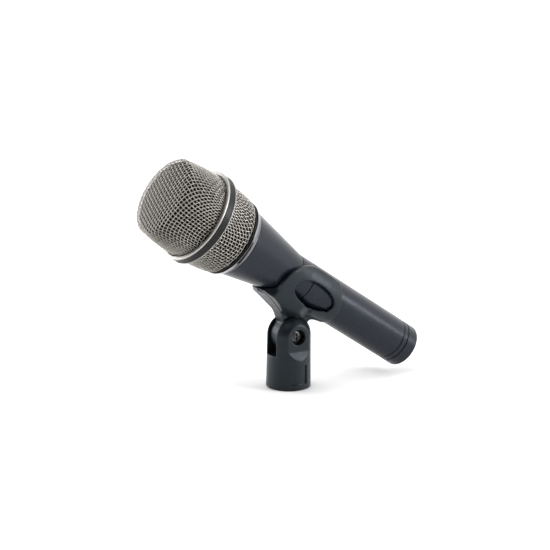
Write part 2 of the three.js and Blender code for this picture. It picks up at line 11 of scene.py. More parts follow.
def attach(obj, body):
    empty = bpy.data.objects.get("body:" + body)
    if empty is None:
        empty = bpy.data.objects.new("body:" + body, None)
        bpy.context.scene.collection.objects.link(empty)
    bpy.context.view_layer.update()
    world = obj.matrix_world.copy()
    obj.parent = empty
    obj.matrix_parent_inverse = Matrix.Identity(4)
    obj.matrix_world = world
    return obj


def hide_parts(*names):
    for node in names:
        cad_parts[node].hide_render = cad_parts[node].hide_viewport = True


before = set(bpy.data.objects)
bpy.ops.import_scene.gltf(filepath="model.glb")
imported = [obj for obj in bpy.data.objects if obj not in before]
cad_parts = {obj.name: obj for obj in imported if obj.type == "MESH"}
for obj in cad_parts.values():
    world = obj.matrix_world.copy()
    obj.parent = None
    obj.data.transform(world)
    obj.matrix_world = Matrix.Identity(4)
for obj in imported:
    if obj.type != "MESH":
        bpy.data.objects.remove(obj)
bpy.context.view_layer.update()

bl_info = {
    "name": "Handheld Microphone",
    "version": (1, 0, 0),
    "blender": (4, 5, 0),
    "location": "View3D > Sidebar > Microphone",
    "description": "Builds the pieces of a handheld dynamic microphone and its stand clip",
    "category": "Object",
}

MM = 0.001

# ---- frame of the microphone: Z along its axis towards the head, X square to it and upwards ----

TILT = math.radians(32.7)
PIVOT_HEIGHT = 28.6
AXIS_OFFSET = 27.3
AXIS = Vector((-math.cos(TILT), 0, math.sin(TILT)))
UPWARD = Vector((math.sin(TILT), 0, math.cos(TILT)))
NEAREST = Vector((0, 0, PIVOT_HEIGHT)) + AXIS_OFFSET * UPWARD
MICROPHONE = Matrix.Translation(NEAREST * MM) @ Matrix((UPWARD, (0, 1, 0), AXIS)).transposed().to_4x4()
STAND = Matrix.Identity(4)

# ---- stations along the microphone's axis and radii, in millimetres ----

GRILLE_TIP = 110.1
GRILLE_SHOULDER = 105.4
GRILLE_WAIST = 91.5
RING_FRONT = 86.0
RING_REAR = 80.6
REAR_GRILLE_FOOT = 62.6
COLLAR_FRONT = 61.3
COLLAR_REAR = 57.3
NECK_FRONT = 63.0
CONE_REAR = 19.6
JOINT_RING_REAR = 9.9
TUBE_REAR = -60.6
TAIL_RING_REAR = -63.95
TAIL_END = -71.5

GAP = 0.3
GRILLE_FRONT_RADIUS = 21.5
GRILLE_WAIST_RADIUS = 23.3
GRILLE_REAR_RADIUS = 23.35
RING_BORE = 23.65
RING_RADIUS = 25.55
BAND_RADIUS = 25.35
COLLAR_FRONT_RADIUS = 21.2
COLLAR_REAR_RADIUS = 19.4
COLLAR_BORE = 16.5
NECK_RADIUS = 16.2
NECK_WALL = 1.3
CONE_FRONT_RADIUS = 18.95
TUBE_RADIUS = 12.08
SOCKET_RADIUS = 9.7
SPIGOT_RADIUS = 11.0
PIN_RADIUS = 1.2
PIN_CIRCLE_RADIUS = 4.04
PIN_PLACES = ((PIN_CIRCLE_RADIUS, 0), (-PIN_CIRCLE_RADIUS, 0), (0, PIN_CIRCLE_RADIUS))
INSERT_FRONT = -52.0
INSERT_REAR = -57.0
PIN_REAR = -69.6
CAPSULE_RADIUS = 12.3
CAPSULE_REAR = 58.0
CAPSULE_FRONT = 84.6

FOAM_SLEEVE_REAR = 64.1
FOAM_SLEEVE_FRONT = 79.5
FOAM_SLEEVE_REAR_RADIUS = 20.45
FOAM_SLEEVE_FRONT_RADIUS = 22.4
FOAM_SLEEVE_WALL = 2.3

# The woven sheets: size of the flat part before drawing, and how the wires settle below the rim.
FRONT_RIM = 22.3
REAR_RIM = 21.3
REAR_RIM_STATION = 63.6
RIM_SETTLING = 3.0
SHEET_REACH = 52
REAR_GRILLE_OPENING = 19.6
WEAVE_LIFT = 0.96
WEAVE_STEPS = 5

# ---- clip ----

BASE_BOTTOM_RADIUS = 12.09
BASE_TOP_RADIUS = 11.75
SLOT_HALF_WIDTH = 4.43
SLOT_FLOOR = PIVOT_HEIGHT - 10.4
EAR_FLAT = 9.82
RAMP_TOP = PIVOT_HEIGHT - 7.8
RAMP_SLOPE = 4.5 / 2.08
COUNTERBORE_RADIUS = 4.15
COUNTERBORE_FLOOR = 6.2
SHANK_RADIUS = 2.0
INSERT_SLEEVE_RADIUS = 9.5
INSERT_SLEEVE_HEIGHT = 12.2
STAND_THREAD_RADIUS = 7.4
STAND_THREAD_PITCH = 0.94
STAND_HOLE_DEPTH = 15.5
NUT_HALF_WIDTH = 3.55
SCREW_HEAD_RADIUS = 3.6
LABEL_HALF_WIDTH = 4.6
LABEL_HALF_HEIGHT = 5.1
LABEL_MIDDLE = 8.3
LABEL_FLOOR_RADIUS = 11.3
TONGUE_HALF_WIDTH = 4.13
KNUCKLE_RADIUS = 9.2
SLEEVE_BORE = 12.4
CONE_SLOPE = (CONE_FRONT_RADIUS - TUBE_RADIUS) / (COLLAR_REAR - GAP - CONE_REAR)


# ---- what a user may change ----


class MicrophoneSizes(bpy.types.PropertyGroup):
    wire_pitch: FloatProperty(
        name="Wire pitch", description="Distance between neighbouring grille wires",
        default=1.93 * MM, unit="LENGTH", precision=5,
    )
    wire_thickness: FloatProperty(
        name="Wire thickness", description="Diameter of a grille wire",
        default=0.36 * MM, unit="LENGTH", precision=5,
    )
    weave_turn: FloatProperty(
        name="Weave turn", description="Turn of the weave about the microphone's axis",
        default=math.radians(-22.5), subtype="ANGLE",
    )
    wire_sides: IntProperty(
        name="Wire sides", description="Number of sides of a grille wire", default=8, min=4,
    )
    turned_segments: IntProperty(
        name="Turned segments", description="Segments round a turned piece", default=144, min=24,
    )
    moulded_cell: FloatProperty(
        name="Moulded cell", description="Edge of the cells that a moulded piece is made from",
        default=0.32 * MM, unit="LENGTH", precision=5,
    )


def colour_property(name, description, colour):
    return FloatVectorProperty(
        name=name, description=description, default=colour, subtype="COLOR", size=3, min=0, max=1,
    )


class MicrophoneColours(bpy.types.PropertyGroup):
    lacquer: colour_property("Lacquer", "Colour of the handle's lacquer", (0.0050, 0.0070, 0.0115))
    wire: colour_property("Wire", "Colour of the grille wires", (0.44, 0.418, 0.385))
    satin: colour_property("Satin nickel", "Colour of the grille ring", (0.40, 0.390, 0.370))
    steel: colour_property("Polished steel", "Colour of the collar", (0.155, 0.155, 0.164))
    rubber: colour_property("Rubber", "Colour of the band and gasket", (0.006, 0.006, 0.0062))
    foam: colour_property("Foam", "Colour of the foam behind the grille", (0.006, 0.005, 0.004))
    plastic: colour_property("Clip plastic", "Colour of the clip", (0.0060, 0.0082, 0.0105))
    brass: colour_property("Brass", "Colour of the threaded insert", (0.52, 0.33, 0.11))


# ---- finishes ----


class Nodes:
    """A material's node tree, with short calls to add and join nodes."""

    def __init__(self, name):
        self.material = bpy.data.materials.new(name)
        self.material.use_nodes = True
        self.tree = self.material.node_tree
        self.shader = self.tree.nodes["Principled BSDF"]
        coordinates = self.add("ShaderNodeTexCoord")
        self.place = coordinates.outputs["Object"]
        self.axial = None

    def along_axis(self):
        """Coordinates in the microphone's own frame, where Z is its axis."""
        if self.axial is None:
            mapping = self.add("ShaderNodeMapping", vector_type="TEXTURE")
            mapping.inputs["Rotation"].default_value = MICROPHONE.to_euler()
            self.link(self.place, mapping.inputs["Vector"])
            self.axial = mapping.outputs["Vector"]
        return self.axial

    def add(self, kind, **settings):
        node = self.tree.nodes.new(kind)
        for key, value in settings.items():
            setattr(node, key, value)
        return node

    def link(self, source, target):
        self.tree.links.new(source, target)

    def stretched(self, scale):
        """The microphone's own coordinates, stretched by a different scale along each axis."""
        mapping = self.add("ShaderNodeMapping")
        mapping.inputs["Scale"].default_value = scale
        self.link(self.along_axis(), mapping.inputs["Vector"])
        return mapping.outputs["Vector"]

    def noise(self, scale, detail=4.0, roughness=0.55, place=None):
        node = self.add("ShaderNodeTexNoise")
        node.inputs["Scale"].default_value = scale
        node.inputs["Detail"].default_value = detail
        node.inputs["Roughness"].default_value = roughness
        self.link(place or self.place, node.inputs["Vector"])
        return node.outputs["Fac"]

    def cells(self, scale, feature="F1"):
        node = self.add("ShaderNodeTexVoronoi", feature=feature)
        node.inputs["Scale"].default_value = scale
        self.link(self.place, node.inputs["Vector"])
        return node.outputs["Distance"]

    def spread(self, source, low, high, start=0.3, stop=0.7):
        node = self.add("ShaderNodeMapRange")
        node.inputs["From Min"].default_value = start
        node.inputs["From Max"].default_value = stop
        node.inputs["To Min"].default_value = low
        node.inputs["To Max"].default_value = high
        self.link(source, node.inputs["Value"])
        return node.outputs["Result"]

    def ramp(self, source, *stops):
        node = self.add("ShaderNodeValToRGB")
        elements = node.color_ramp.elements
        while len(elements) < len(stops):
            elements.new(0.5)
        for element, (position, colour) in zip(elements, stops):
            element.position = position
            element.color = (*colour, 1)
        self.link(source, node.inputs["Fac"])
        return node.outputs["Color"]

    def bump(self, source, depth, before=None):
        node = self.add("ShaderNodeBump")
        node.inputs["Strength"].default_value = 1.0
        node.inputs["Distance"].default_value = depth
        self.link(source, node.inputs["Height"])
        if before:
            self.link(before, node.inputs["Normal"])
        return node.outputs["Normal"]

    def dress(self, **sockets):
        """Sets the shader's sockets: a number or colour stays on the socket, an output is joined to it."""
        for name, value in sockets.items():
            socket = self.shader.inputs[name.replace("_", " ")]
            if isinstance(value, bpy.types.NodeSocket):
                self.link(value, socket)
            else:
                socket.default_value = value
        return self.material


def tinted(colour, factor):
    return tuple(min(1.0, c * factor) for c in colour)


def lacquer_finish(colours):
    n = Nodes("dark_lacquer")
    patches = n.noise(90, 3)
    grain = n.noise(5200, 2)
    base = n.ramp(
        n.noise(380, 5), (0.3, tinted(colours.lacquer, 0.86)), (0.72, tinted(colours.lacquer, 1.16)),
    )
    return n.dress(
        Base_Color=base, Roughness=n.spread(patches, 0.25, 0.33), IOR=1.36, Specular_Tint=(0.82, 0.87, 1, 1),
        Normal=n.bump(grain, 0.000005),
    )


def wire_finish(colours):
    n = Nodes("mesh_nickel")
    base = n.ramp(
        n.noise(700, 4), (0.28, tinted(colours.wire, 0.80)), (0.55, tuple(colours.wire)),
        (0.80, tinted(colours.wire, 1.14)),
    )
    return n.dress(
        Base_Color=base, Metallic=0.9, Roughness=n.spread(n.noise(1500, 3), 0.24, 0.40),
        Normal=n.bump(n.noise(9000, 2), 0.000008),
    )


def satin_finish(colours):
    n = Nodes("satin_nickel")
    streaks = n.noise(1, 3, place=n.stretched((400, 400, 9000)))
    base = n.ramp(n.noise(500, 4), (0.3, tinted(colours.satin, 0.88)), (0.7, tinted(colours.satin, 1.08)))
    return n.dress(
        Base_Color=base, Metallic=0.85, Roughness=n.spread(streaks, 0.38, 0.52),
        Normal=n.bump(streaks, 0.000010),
    )


def steel_finish(colours):
    n = Nodes("polished_steel")
    smudges = n.noise(260, 4)
    lathe_marks = n.noise(1, 2, place=n.stretched((120, 120, 6000)))
    base = n.ramp(n.noise(150, 3), (0.3, tinted(colours.steel, 0.94)), (0.7, tinted(colours.steel, 1.05)))
    return n.dress(
        Base_Color=base, Metallic=1.0, Roughness=n.spread(smudges, 0.07, 0.16),
        Normal=n.bump(lathe_marks, 0.000003),
    )


def rubber_finish(colours):
    n = Nodes("black_rubber")
    base = n.ramp(n.noise(600, 5), (0.3, tinted(colours.rubber, 0.8)), (0.75, tinted(colours.rubber, 1.4)))
    return n.dress(
        Base_Color=base, Roughness=n.spread(n.noise(220, 3), 0.38, 0.52), IOR=1.30,
        Normal=n.bump(n.noise(3200, 3), 0.000014),
    )


def foam_finish(colours):
    n = Nodes("black_foam")
    pores = n.cells(1500)
    # The colour is darker in the middle of each pore than on the walls between pores: painted shade in the
    # pores.
    base = n.ramp(pores, (0.05, tinted(colours.foam, 0.4)), (0.75, tinted(colours.foam, 1.9)))
    return n.dress(
        Base_Color=base, Roughness=n.spread(pores, 0.9, 1.0, 0.0, 1.0), Specular_IOR_Level=0.1,
        Normal=n.bump(pores, 0.0002),
    )


def plastic_finish(colours):
    n = Nodes("clip_plastic")
    flow = n.noise(60, 4)
    spark = n.noise(2600, 3)
    base = n.ramp(flow, (0.3, tinted(colours.plastic, 0.88)), (0.72, tinted(colours.plastic, 1.14)))
    return n.dress(
        Base_Color=base, Roughness=n.spread(n.noise(420, 4), 0.32, 0.44), IOR=1.36,
        Specular_Tint=(0.79, 0.91, 1, 1),
        Normal=n.bump(spark, 0.000016),
    )


def black_plastic_finish(colours):
    n = Nodes("black_plastic")
    base = n.ramp(n.noise(500, 3), (0.3, (0.010, 0.010, 0.011)), (0.7, (0.018, 0.018, 0.020)))
    return n.dress(
        Base_Color=base, Roughness=n.spread(n.noise(300, 3), 0.38, 0.5),
        Normal=n.bump(n.noise(3000, 2), 0.000010),
    )


def metal_finish(name, colour, low=0.25, high=0.42, scale=500):
    """A plain machined or plated metal with faint tarnish and turning marks."""
    n = Nodes(name)
    base = n.ramp(n.noise(scale, 4), (0.3, tinted(colour, 0.82)), (0.7, tinted(colour, 1.1)))
    marks = n.noise(1, 3, place=n.stretched((700, 700, 7000)))
    return n.dress(
        Base_Color=base, Metallic=1.0, Roughness=n.spread(n.noise(scale * 0.6, 3), low, high),
        Normal=n.bump(marks, 0.000006),
    )


def coated_finish(name, colour, roughness=0.5, depth=0.00001):
    """A painted, moulded or drawn surface that isn't metal."""
    n = Nodes(name)
    base = n.ramp(n.noise(900, 4), (0.3, tinted(colour, 0.85)), (0.7, tinted(colour, 1.1)))
    return n.dress(
        Base_Color=base, Roughness=n.spread(n.noise(400, 3), roughness - 0.07, roughness + 0.07),
        Normal=n.bump(n.noise(2500, 3), depth),
    )


FINISHES = {
    "dark_lacquer": lacquer_finish,
    "mesh_nickel": wire_finish,
    "satin_nickel": satin_finish,
    "polished_steel": steel_finish,
    "black_rubber": rubber_finish,
    "black_foam": foam_finish,
    "clip_plastic": plastic_finish,
    "black_plastic": black_plastic_finish,
    "brass": lambda colours: metal_finish("brass", tuple(colours.brass), 0.28, 0.45),
    "contact_silver": lambda colours: metal_finish("contact_silver", (0.72, 0.70, 0.66), 0.18, 0.30),
    "black_steel": lambda colours: metal_finish("black_steel", (0.06, 0.06, 0.062), 0.22, 0.38),
    "zinc_steel": lambda colours: metal_finish("zinc_steel", (0.50, 0.51, 0.53)),
    "magnet_metal": lambda colours: metal_finish("magnet_metal", (0.36, 0.37, 0.39)),
    "copper": lambda colours: metal_finish("copper", (0.60, 0.26, 0.10)),
    "film": lambda colours: coated_finish("film", (0.55, 0.52, 0.44), 0.3),
    "board_green": lambda colours: coated_finish("board_green", (0.03, 0.10, 0.045), 0.5),
    "red_wire": lambda colours: coated_finish("red_wire", (0.30, 0.02, 0.02), 0.45),
    "white_wire": lambda colours: coated_finish("white_wire", (0.68, 0.66, 0.60), 0.45),
}


def finish(name):
    """The material of one of the record's slots, made when first asked for."""
    known = bpy.data.materials.get(name)
    if known and known.get("finished"):
        return known
    if known:
        known.name = name + "_plain"
    made = FINISHES[name](bpy.context.scene.microphone_colours)
    made["finished"] = True
    return made


# ---- mesh helpers; every length is in millimetres until a mesh is stored ----


def store(name, points, faces, slot, body, nodes=(), frame_of=MICROPHONE, smooth_angle=35.0):
    """Makes a piece from points in millimetres, gives it its finish and hangs it on its body."""
    mesh = bpy.data.meshes.new(name)
    mesh.from_pydata((np.asarray(points, float) * MM).tolist(), [], faces)
    mesh.transform(frame_of)
    mesh.validate()
    mesh.update()
    mesh.shade_smooth()
    mesh.set_sharp_from_angle(angle=math.radians(smooth_angle))
    mesh.materials.append(finish(slot))
    piece = bpy.data.objects.new(name, mesh)
    bpy.context.scene.collection.objects.link(piece)
    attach(piece, body)
    if nodes:
        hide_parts(*nodes)
    return piece


def arc_corner(before, corner, after, radius, steps):
    """The points of a round that replaces one corner of an outline, with a guard point at each end."""
    before, corner, after = (np.array(p, float) for p in (before, corner, after))
    to_before, to_after = before - corner, after - corner
    reach_before, reach_after = np.linalg.norm(to_before), np.linalg.norm(to_after)
    to_before, to_after = to_before / reach_before, to_after / reach_after
    half = math.acos(max(-1.0, min(1.0, float(to_before @ to_after)))) / 2
    if radius <= 0 or half > math.radians(88):
        return [tuple(corner)]
    cutback = min(radius / math.tan(half), 0.45 * reach_before, 0.45 * reach_after)
    radius = cutback * math.tan(half)
    bisector = (to_before + to_after) / np.linalg.norm(to_before + to_after)
    centre = corner + bisector * radius / math.sin(half)
    first, last = corner + to_before * cutback, corner + to_after * cutback
    from_centre, to_end = first - centre, last - centre
    sweep = math.atan2(
        from_centre[0] * to_end[1] - from_centre[1] * to_end[0], float(from_centre @ to_end),
    )
    guard = 0.25 * cutback
    points = [first + to_before * min(guard, 0.04 * reach_before)]
    for i in range(steps + 1):
        turn = sweep * i / steps
        cosine, sine = math.cos(turn), math.sin(turn)
        points.append(centre + np.array([
            from_centre[0] * cosine - from_centre[1] * sine,
            from_centre[0] * sine + from_centre[1] * cosine,
        ]))
    points.append(last + to_after * min(guard, 0.04 * reach_after))
    return [tuple(p) for p in points]


def rounded(outline, steps=5):
    """A closed outline of (radius, station, rounding) corners as plain (radius, station) points."""
    points = []
    count = len(outline)
    for i, corner in enumerate(outline):
        before, after = outline[i - 1], outline[(i + 1) % count]
        rounding = corner[2] if len(corner) > 2 else 0
        points += arc_corner(before[:2], corner[:2], after[:2], rounding, steps)
    return points


def lathe(outline, segments):
    """Points and faces of a closed outline of (radius, station) turned about the axis."""
    angles = np.arange(segments) * 2 * math.pi / segments
    ring = np.array(outline, float)
    points = np.stack([
        ring[:, 0][:, None] * np.cos(angles), ring[:, 0][:, None] * np.sin(angles),
        np.repeat(ring[:, 1][:, None], segments, 1),
    ], -1).reshape(-1, 3)
    count = len(ring)
    faces = []
    for i in range(count):
        below, above = i * segments, (i + 1) % count * segments
        for k in range(segments):
            after = (k + 1) % segments
            faces.append((below + k, below + after, above + after, above + k))
    return points, outward(points, faces)


def outward(points, faces):
    """The faces, all turned over if the solid they enclose is inside out."""
    volume = 0.0
    for face in faces:
        a, b, c = points[face[0]], points[face[1]], points[face[2]]
        volume += float(np.dot(a, np.cross(b, c)))
        if len(face) == 4:
            d = points[face[3]]
            volume += float(np.dot(a, np.cross(c, d)))
    return [tuple(reversed(f)) for f in faces] if volume < 0 else faces


def capped_lathe(profile, segments):
    """Points and faces of a profile that starts and ends on the axis."""
    angles = np.arange(segments) * 2 * math.pi / segments
    points = [(0, 0, profile[0][1])]
    for radius, station in profile[1:-1]:
        points += [(radius * math.cos(a), radius * math.sin(a), station) for a in angles]
    points.append((0, 0, profile[-1][1]))
    rows = len(profile) - 2
    last = len(points) - 1
    faces = []
    for k in range(segments):
        after = (k + 1) % segments
        faces.append((0, 1 + k, 1 + after))
        for row in range(rows - 1):
            low, high = 1 + row * segments, 1 + (row + 1) * segments
            faces.append((low + after, low + k, high + k, high + after))
        foot = 1 + (rows - 1) * segments
        faces.append((foot + after, foot + k, last))
    points = np.array(points, float)
    return points, outward(points, faces)


def turned(name, outline, slot, body, nodes=(), frame_of=MICROPHONE, segments=None, smooth_angle=35.0):
    """A turned ring-like piece from a closed outline with rounded corners."""
    segments = segments or bpy.context.scene.microphone_sizes.turned_segments
    points, faces = lathe(rounded(outline), segments)
    return store(name, points, faces, slot, body, nodes, frame_of, smooth_angle)


# ---- moulded pieces: a distance field turned into a mesh ----


def smooth_most(first, second, round_by):
    """The larger of two distances, with the edge between them rounded."""
    blend = np.clip(0.5 - 0.5 * (second - first) / round_by, 0, 1)
    return second + (first - second) * blend + round_by * blend * (1 - blend)


def smooth_least(first, second, round_by):
    """The smaller of two distances, with the corner between them filled."""
    return -smooth_most(-first, -second, round_by)


def outline_distance(across, along, outline):
    """Signed distance from each place to a closed outline of (across, along) points."""
    across, along = np.broadcast_arrays(across, along)
    outline = np.array(outline, float)
    nearest = np.full(across.shape, 1e9)
    inside = np.zeros(across.shape, bool)
    for start, end in zip(outline, np.roll(outline, -1, 0)):
        edge = end - start
        share = (across - start[0]) * edge[0] + (along - start[1]) * edge[1]
        share = np.clip(share / max(float(edge @ edge), 1e-12), 0, 1)
        nearest = np.minimum(nearest, np.hypot(
            across - start[0] - share * edge[0], along - start[1] - share * edge[1],
        ))
        crosses = (start[1] > along) != (end[1] > along)
        rise = edge[1] if abs(edge[1]) > 1e-12 else 1e-12
        inside ^= crosses & (across < start[0] + (along - start[1]) * edge[0] / rise)
    return np.where(inside, -nearest, nearest)


def bezier(start, pull_start, pull_end, end, steps=10):
    """Points of a cubic curve, without its first one."""
    points = []
    for i in range(1, steps + 1):
        t = i / steps
        weights = ((1 - t) ** 3, 3 * t * (1 - t) ** 2, 3 * t * t * (1 - t), t ** 3)
        points.append(tuple(
            sum(w * p[axis] for w, p in zip(weights, (start, pull_start, pull_end, end))) for axis in (0, 1)
        ))
    return points


CORNERS = np.array([(x, y, z) for x in (0, 1) for y in (0, 1) for z in (0, 1)])
CELL_EDGES = [
    (a, b) for a in range(8) for b in range(a + 1, 8) if int(np.abs(CORNERS[a] - CORNERS[b]).sum()) == 1
]


def moulded_mesh(field, low, high, cell):
    """Points and faces of the surface where field(x, y, z) is nought, on a grid of cubic cells."""
    low, high = np.array(low, float), np.array(high, float)
    counts = np.ceil((high - low) / cell).astype(int) + 1
    axes = [low[i] + cell * np.arange(counts[i]) for i in range(3)]
    values = field(axes[0][:, None, None], axes[1][None, :, None], axes[2][None, None, :])
    values = np.broadcast_to(values, counts).astype(float)
    corner = [values[x:counts[0] - 1 + x, y:counts[1] - 1 + y, z:counts[2] - 1 + z] for x, y, z in CORNERS]
    signs = np.stack([c < 0 for c in corner])
    mixed = signs.any(0) & ~signs.all(0)
    cells = np.argwhere(mixed)
    at = tuple(cells.T)
    total = np.zeros((len(cells), 3))
    hits = np.zeros(len(cells))
    for a, b in CELL_EDGES:
        first, second = corner[a][at], corner[b][at]
        crosses = (first < 0) != (second < 0)
        share = np.where(crosses, first / np.where(crosses, first - second, 1), 0)
        place = CORNERS[a] + share[:, None] * (CORNERS[b] - CORNERS[a])
        total += place * crosses[:, None]
        hits += crosses
    points = low + cell * (cells + total / hits[:, None])
    number = np.full(mixed.shape, -1)
    number[at] = np.arange(len(cells))
    faces = []
    for axis in range(3):
        side, other = (axis + 1) % 3, (axis + 2) % 3
        shift = np.zeros(3, int)
        shift[axis] = 1
        inner = [slice(1, counts[i] - 1) for i in range(3)]
        inner[axis] = slice(0, counts[axis] - 1)
        next_to = list(inner)
        next_to[axis] = slice(1, counts[axis])
        start, end = values[tuple(inner)], values[tuple(next_to)]
        for entering in (True, False):
            found = (start < 0) & (end >= 0) if entering else (start >= 0) & (end < 0)
            base = np.argwhere(found)
            base[:, side] += 1
            base[:, other] += 1
            back_side, back_other = np.zeros(3, int), np.zeros(3, int)
            back_side[side], back_other[other] = 1, 1
            quad = [
                number[tuple((base - back_side - back_other).T)], number[tuple((base - back_other).T)],
                number[tuple(base.T)], number[tuple((base - back_side).T)],
            ]
            quad = np.stack(quad if entering else quad[::-1], 1)
            faces.append(quad)
    return settle(points, field, cell), np.concatenate(faces).tolist()


def settle(points, field, cell):
    """Moves the points onto the surface along the field's slope."""
    step = 0.25 * cell
    for _ in range(3):
        value = field(*points.T)
        slope = np.stack([
            (field(*(points + step * axis).T) - field(*(points - step * axis).T)) / (2 * step)
            for axis in np.eye(3)
        ], 1)
        length = np.maximum((slope ** 2).sum(1), 0.2)
        move = -slope * (value / length)[:, None]
        reach = np.maximum(np.linalg.norm(move, axis=1), 1e-9)
        points = points + move * np.minimum(1, 0.4 * cell / reach)[:, None]
    return points


def moulded(name, field, low, high, cell, slot, body, nodes=(), frame_of=STAND):
    points, faces = moulded_mesh(field, low, high, cell)
    return store(name, points, faces, slot, body, nodes, frame_of, smooth_angle=60.0)


# ---- woven grilles ----


def drawn_angle(u, v, rim):
    """Where a place on the flat sheet lands once drawn: turn from the u wires, and depth below the rim."""
    turn = np.arctan2(v, u)
    depth = np.maximum(np.hypot(u, v) - rim, 0.0)
    deep = depth > 0

    def sheet_place(angle, down):
        settled = down / (down + RIM_SETTLING)
        sine, cosine = np.sin(angle), np.cos(angle)
        return (
            rim * cosine + down * cosine * (1 - settled + settled * cosine),
            rim * sine + down * sine * (1 - settled + settled * sine),
        )

    for _ in range(14):
        at_u, at_v = sheet_place(turn, depth)
        turn_u, turn_v = (a - b for a, b in zip(sheet_place(turn + 1e-4, depth), (at_u, at_v)))
        down_u, down_v = (a - b for a, b in zip(sheet_place(turn, depth + 1e-4), (at_u, at_v)))
        scale = (turn_u * down_v - turn_v * down_u) / 1e-4
        miss_u, miss_v = u - at_u, v - at_v
        turn_move = (miss_u * down_v - miss_v * down_u) / scale
        depth_move = (turn_u * miss_v - turn_v * miss_u) / scale
        turn = np.where(deep, np.clip(turn + np.clip(turn_move, -0.2, 0.2), 0, math.pi / 2), turn)
        depth = np.where(deep, np.maximum(depth + np.clip(depth_move, -2, 2), 0), 0)
    return turn, depth


class DrawnSheet:
    """A woven sheet drawn over a turned cup: even on the face, closing up on the diagonals of the side."""

    def __init__(self, profile, rim_station, rim, outward_sign):
        self.profile = np.array(profile, float)
        edges = np.diff(self.profile, axis=0)
        self.reach = np.concatenate([[0], np.cumsum(np.linalg.norm(edges, axis=1))])
        self.middles = (self.reach[1:] + self.reach[:-1]) / 2
        lengths = np.linalg.norm(edges, axis=1)[:, None]
        self.facing = outward_sign * np.stack([-edges[:, 1], edges[:, 0]], 1) / lengths
        order = np.argsort(self.profile[:, 1])
        self.rim_reach = float(np.interp(rim_station, self.profile[order, 1], self.reach[order]))
        self.rim = rim

    def places(self, u, v):
        """Points and outward normals on the drawn sheet."""
        turn, depth = drawn_angle(np.abs(u), np.abs(v), self.rim)
        flat = np.minimum(np.hypot(u, v) / self.rim, 1.0)
        reach = np.where(depth > 0, self.rim_reach + depth, self.rim_reach * flat)
        radius = np.interp(reach, self.reach, self.profile[:, 0])
        station = np.interp(reach, self.reach, self.profile[:, 1])
        side = np.interp(reach, self.middles, self.facing[:, 0])
        front = np.interp(reach, self.middles, self.facing[:, 1])
        x, y = np.cos(turn) * np.sign(u + 1e-12), np.sin(turn) * np.sign(v + 1e-12)
        normals = np.stack([x * side, y * side, front], -1)
        normals /= np.linalg.norm(normals, axis=-1)[:, None]
        return np.stack([x * radius, y * radius, station], -1), normals


def wire_tube(path, normals, radius, sides):
    """Points and faces of one round wire along a path, closed at both ends."""
    along = np.gradient(path, axis=0)
    along /= np.linalg.norm(along, axis=1)[:, None]
    across = np.cross(along, normals)
    across /= np.linalg.norm(across, axis=1)[:, None]
    lift = np.cross(across, along)
    angles = np.arange(sides) * 2 * math.pi / sides
    rings = path[:, None] + radius * (
        np.cos(angles)[None, :, None] * lift[:, None] + np.sin(angles)[None, :, None] * across[:, None]
    )
    faces = []
    for k in range(len(path) - 1):
        for side in range(sides):
            after = (side + 1) % sides
            low, high = k * sides, (k + 1) * sides
            faces.append((low + side, high + side, high + after, low + after))
    last = (len(path) - 1) * sides
    faces.append(tuple(range(sides)))
    faces.append(tuple(last + side for side in range(sides - 1, -1, -1)))
    return rings.reshape(-1, 3), faces


def weave(sheet, sizes, reach, keep):
    """Points and faces of both sets of wires of a drawn sheet, where keep(points) is true."""
    pitch, radius = sizes.wire_pitch / MM, sizes.wire_thickness / MM / 2
    lift = WEAVE_LIFT * radius
    cosine, sine = math.cos(sizes.weave_turn), math.sin(sizes.weave_turn)
    spin = np.array([[cosine, -sine, 0], [sine, cosine, 0], [0, 0, 1]])
    count = int(reach / pitch)
    run = np.arange(-count * WEAVE_STEPS, count * WEAVE_STEPS + 1) / WEAVE_STEPS
    points, faces, total = [], [], 0
    for family in (0, 1):
        for fixed in range(-count, count + 1):
            across = np.full(run.shape, fixed * pitch)
            u, v = (run * pitch, across) if family == 0 else (across, run * pitch)
            path, normals = sheet.places(u, v)
            wave = np.cos(math.pi * (run + fixed + family)) * lift
            path = path + normals * wave[:, None]
            for first, last in kept_runs(keep(path)):
                tube, tube_faces = wire_tube(path[first:last], normals[first:last], radius, sizes.wire_sides)
                points.append(tube @ spin.T)
                faces += [tuple(corner + total for corner in face) for face in tube_faces]
                total += len(tube)
    return np.concatenate(points), faces


def kept_runs(flags):
    """Start and end of each unbroken run of true flags that is long enough for a wire."""
    runs, start = [], None
    for k, flag in enumerate([*flags, False]):
        if flag and start is None:
            start = k
        elif not flag and start is not None:
            if k - start >= 3:
                runs.append((start, k))
            start = None
    return runs


def grille_crown(tip, shoulder, radius, steps):
    """Front of the grille: nearly flat in the middle, turning into the side through a full corner."""
    points = []
    for i in range(steps + 1):
        depth = (i / steps) ** 2
        reach = (1 - (1 - depth) ** 3.5) ** (1 / 1.6)
        points.append((radius * reach, tip - (tip - shoulder) * depth))
    return points


def front_profile(inset, rear, steps=40):
    crown = grille_crown(GRILLE_TIP - inset, GRILLE_SHOULDER - inset / 2, GRILLE_FRONT_RADIUS - inset, steps)
    side = []
    for i in range(1, 13):
        share = i / 12
        station = GRILLE_SHOULDER - inset / 2 + share * (GRILLE_WAIST - GRILLE_SHOULDER + inset / 2)
        bulge = 0.45 * math.sin(math.pi * share) * 0.55
        radius = GRILLE_FRONT_RADIUS + share * (GRILLE_WAIST_RADIUS - GRILLE_FRONT_RADIUS) + bulge
        side.append((min(radius, GRILLE_WAIST_RADIUS) - inset, station))
    return crown + side + [(GRILLE_REAR_RADIUS - inset, rear)]


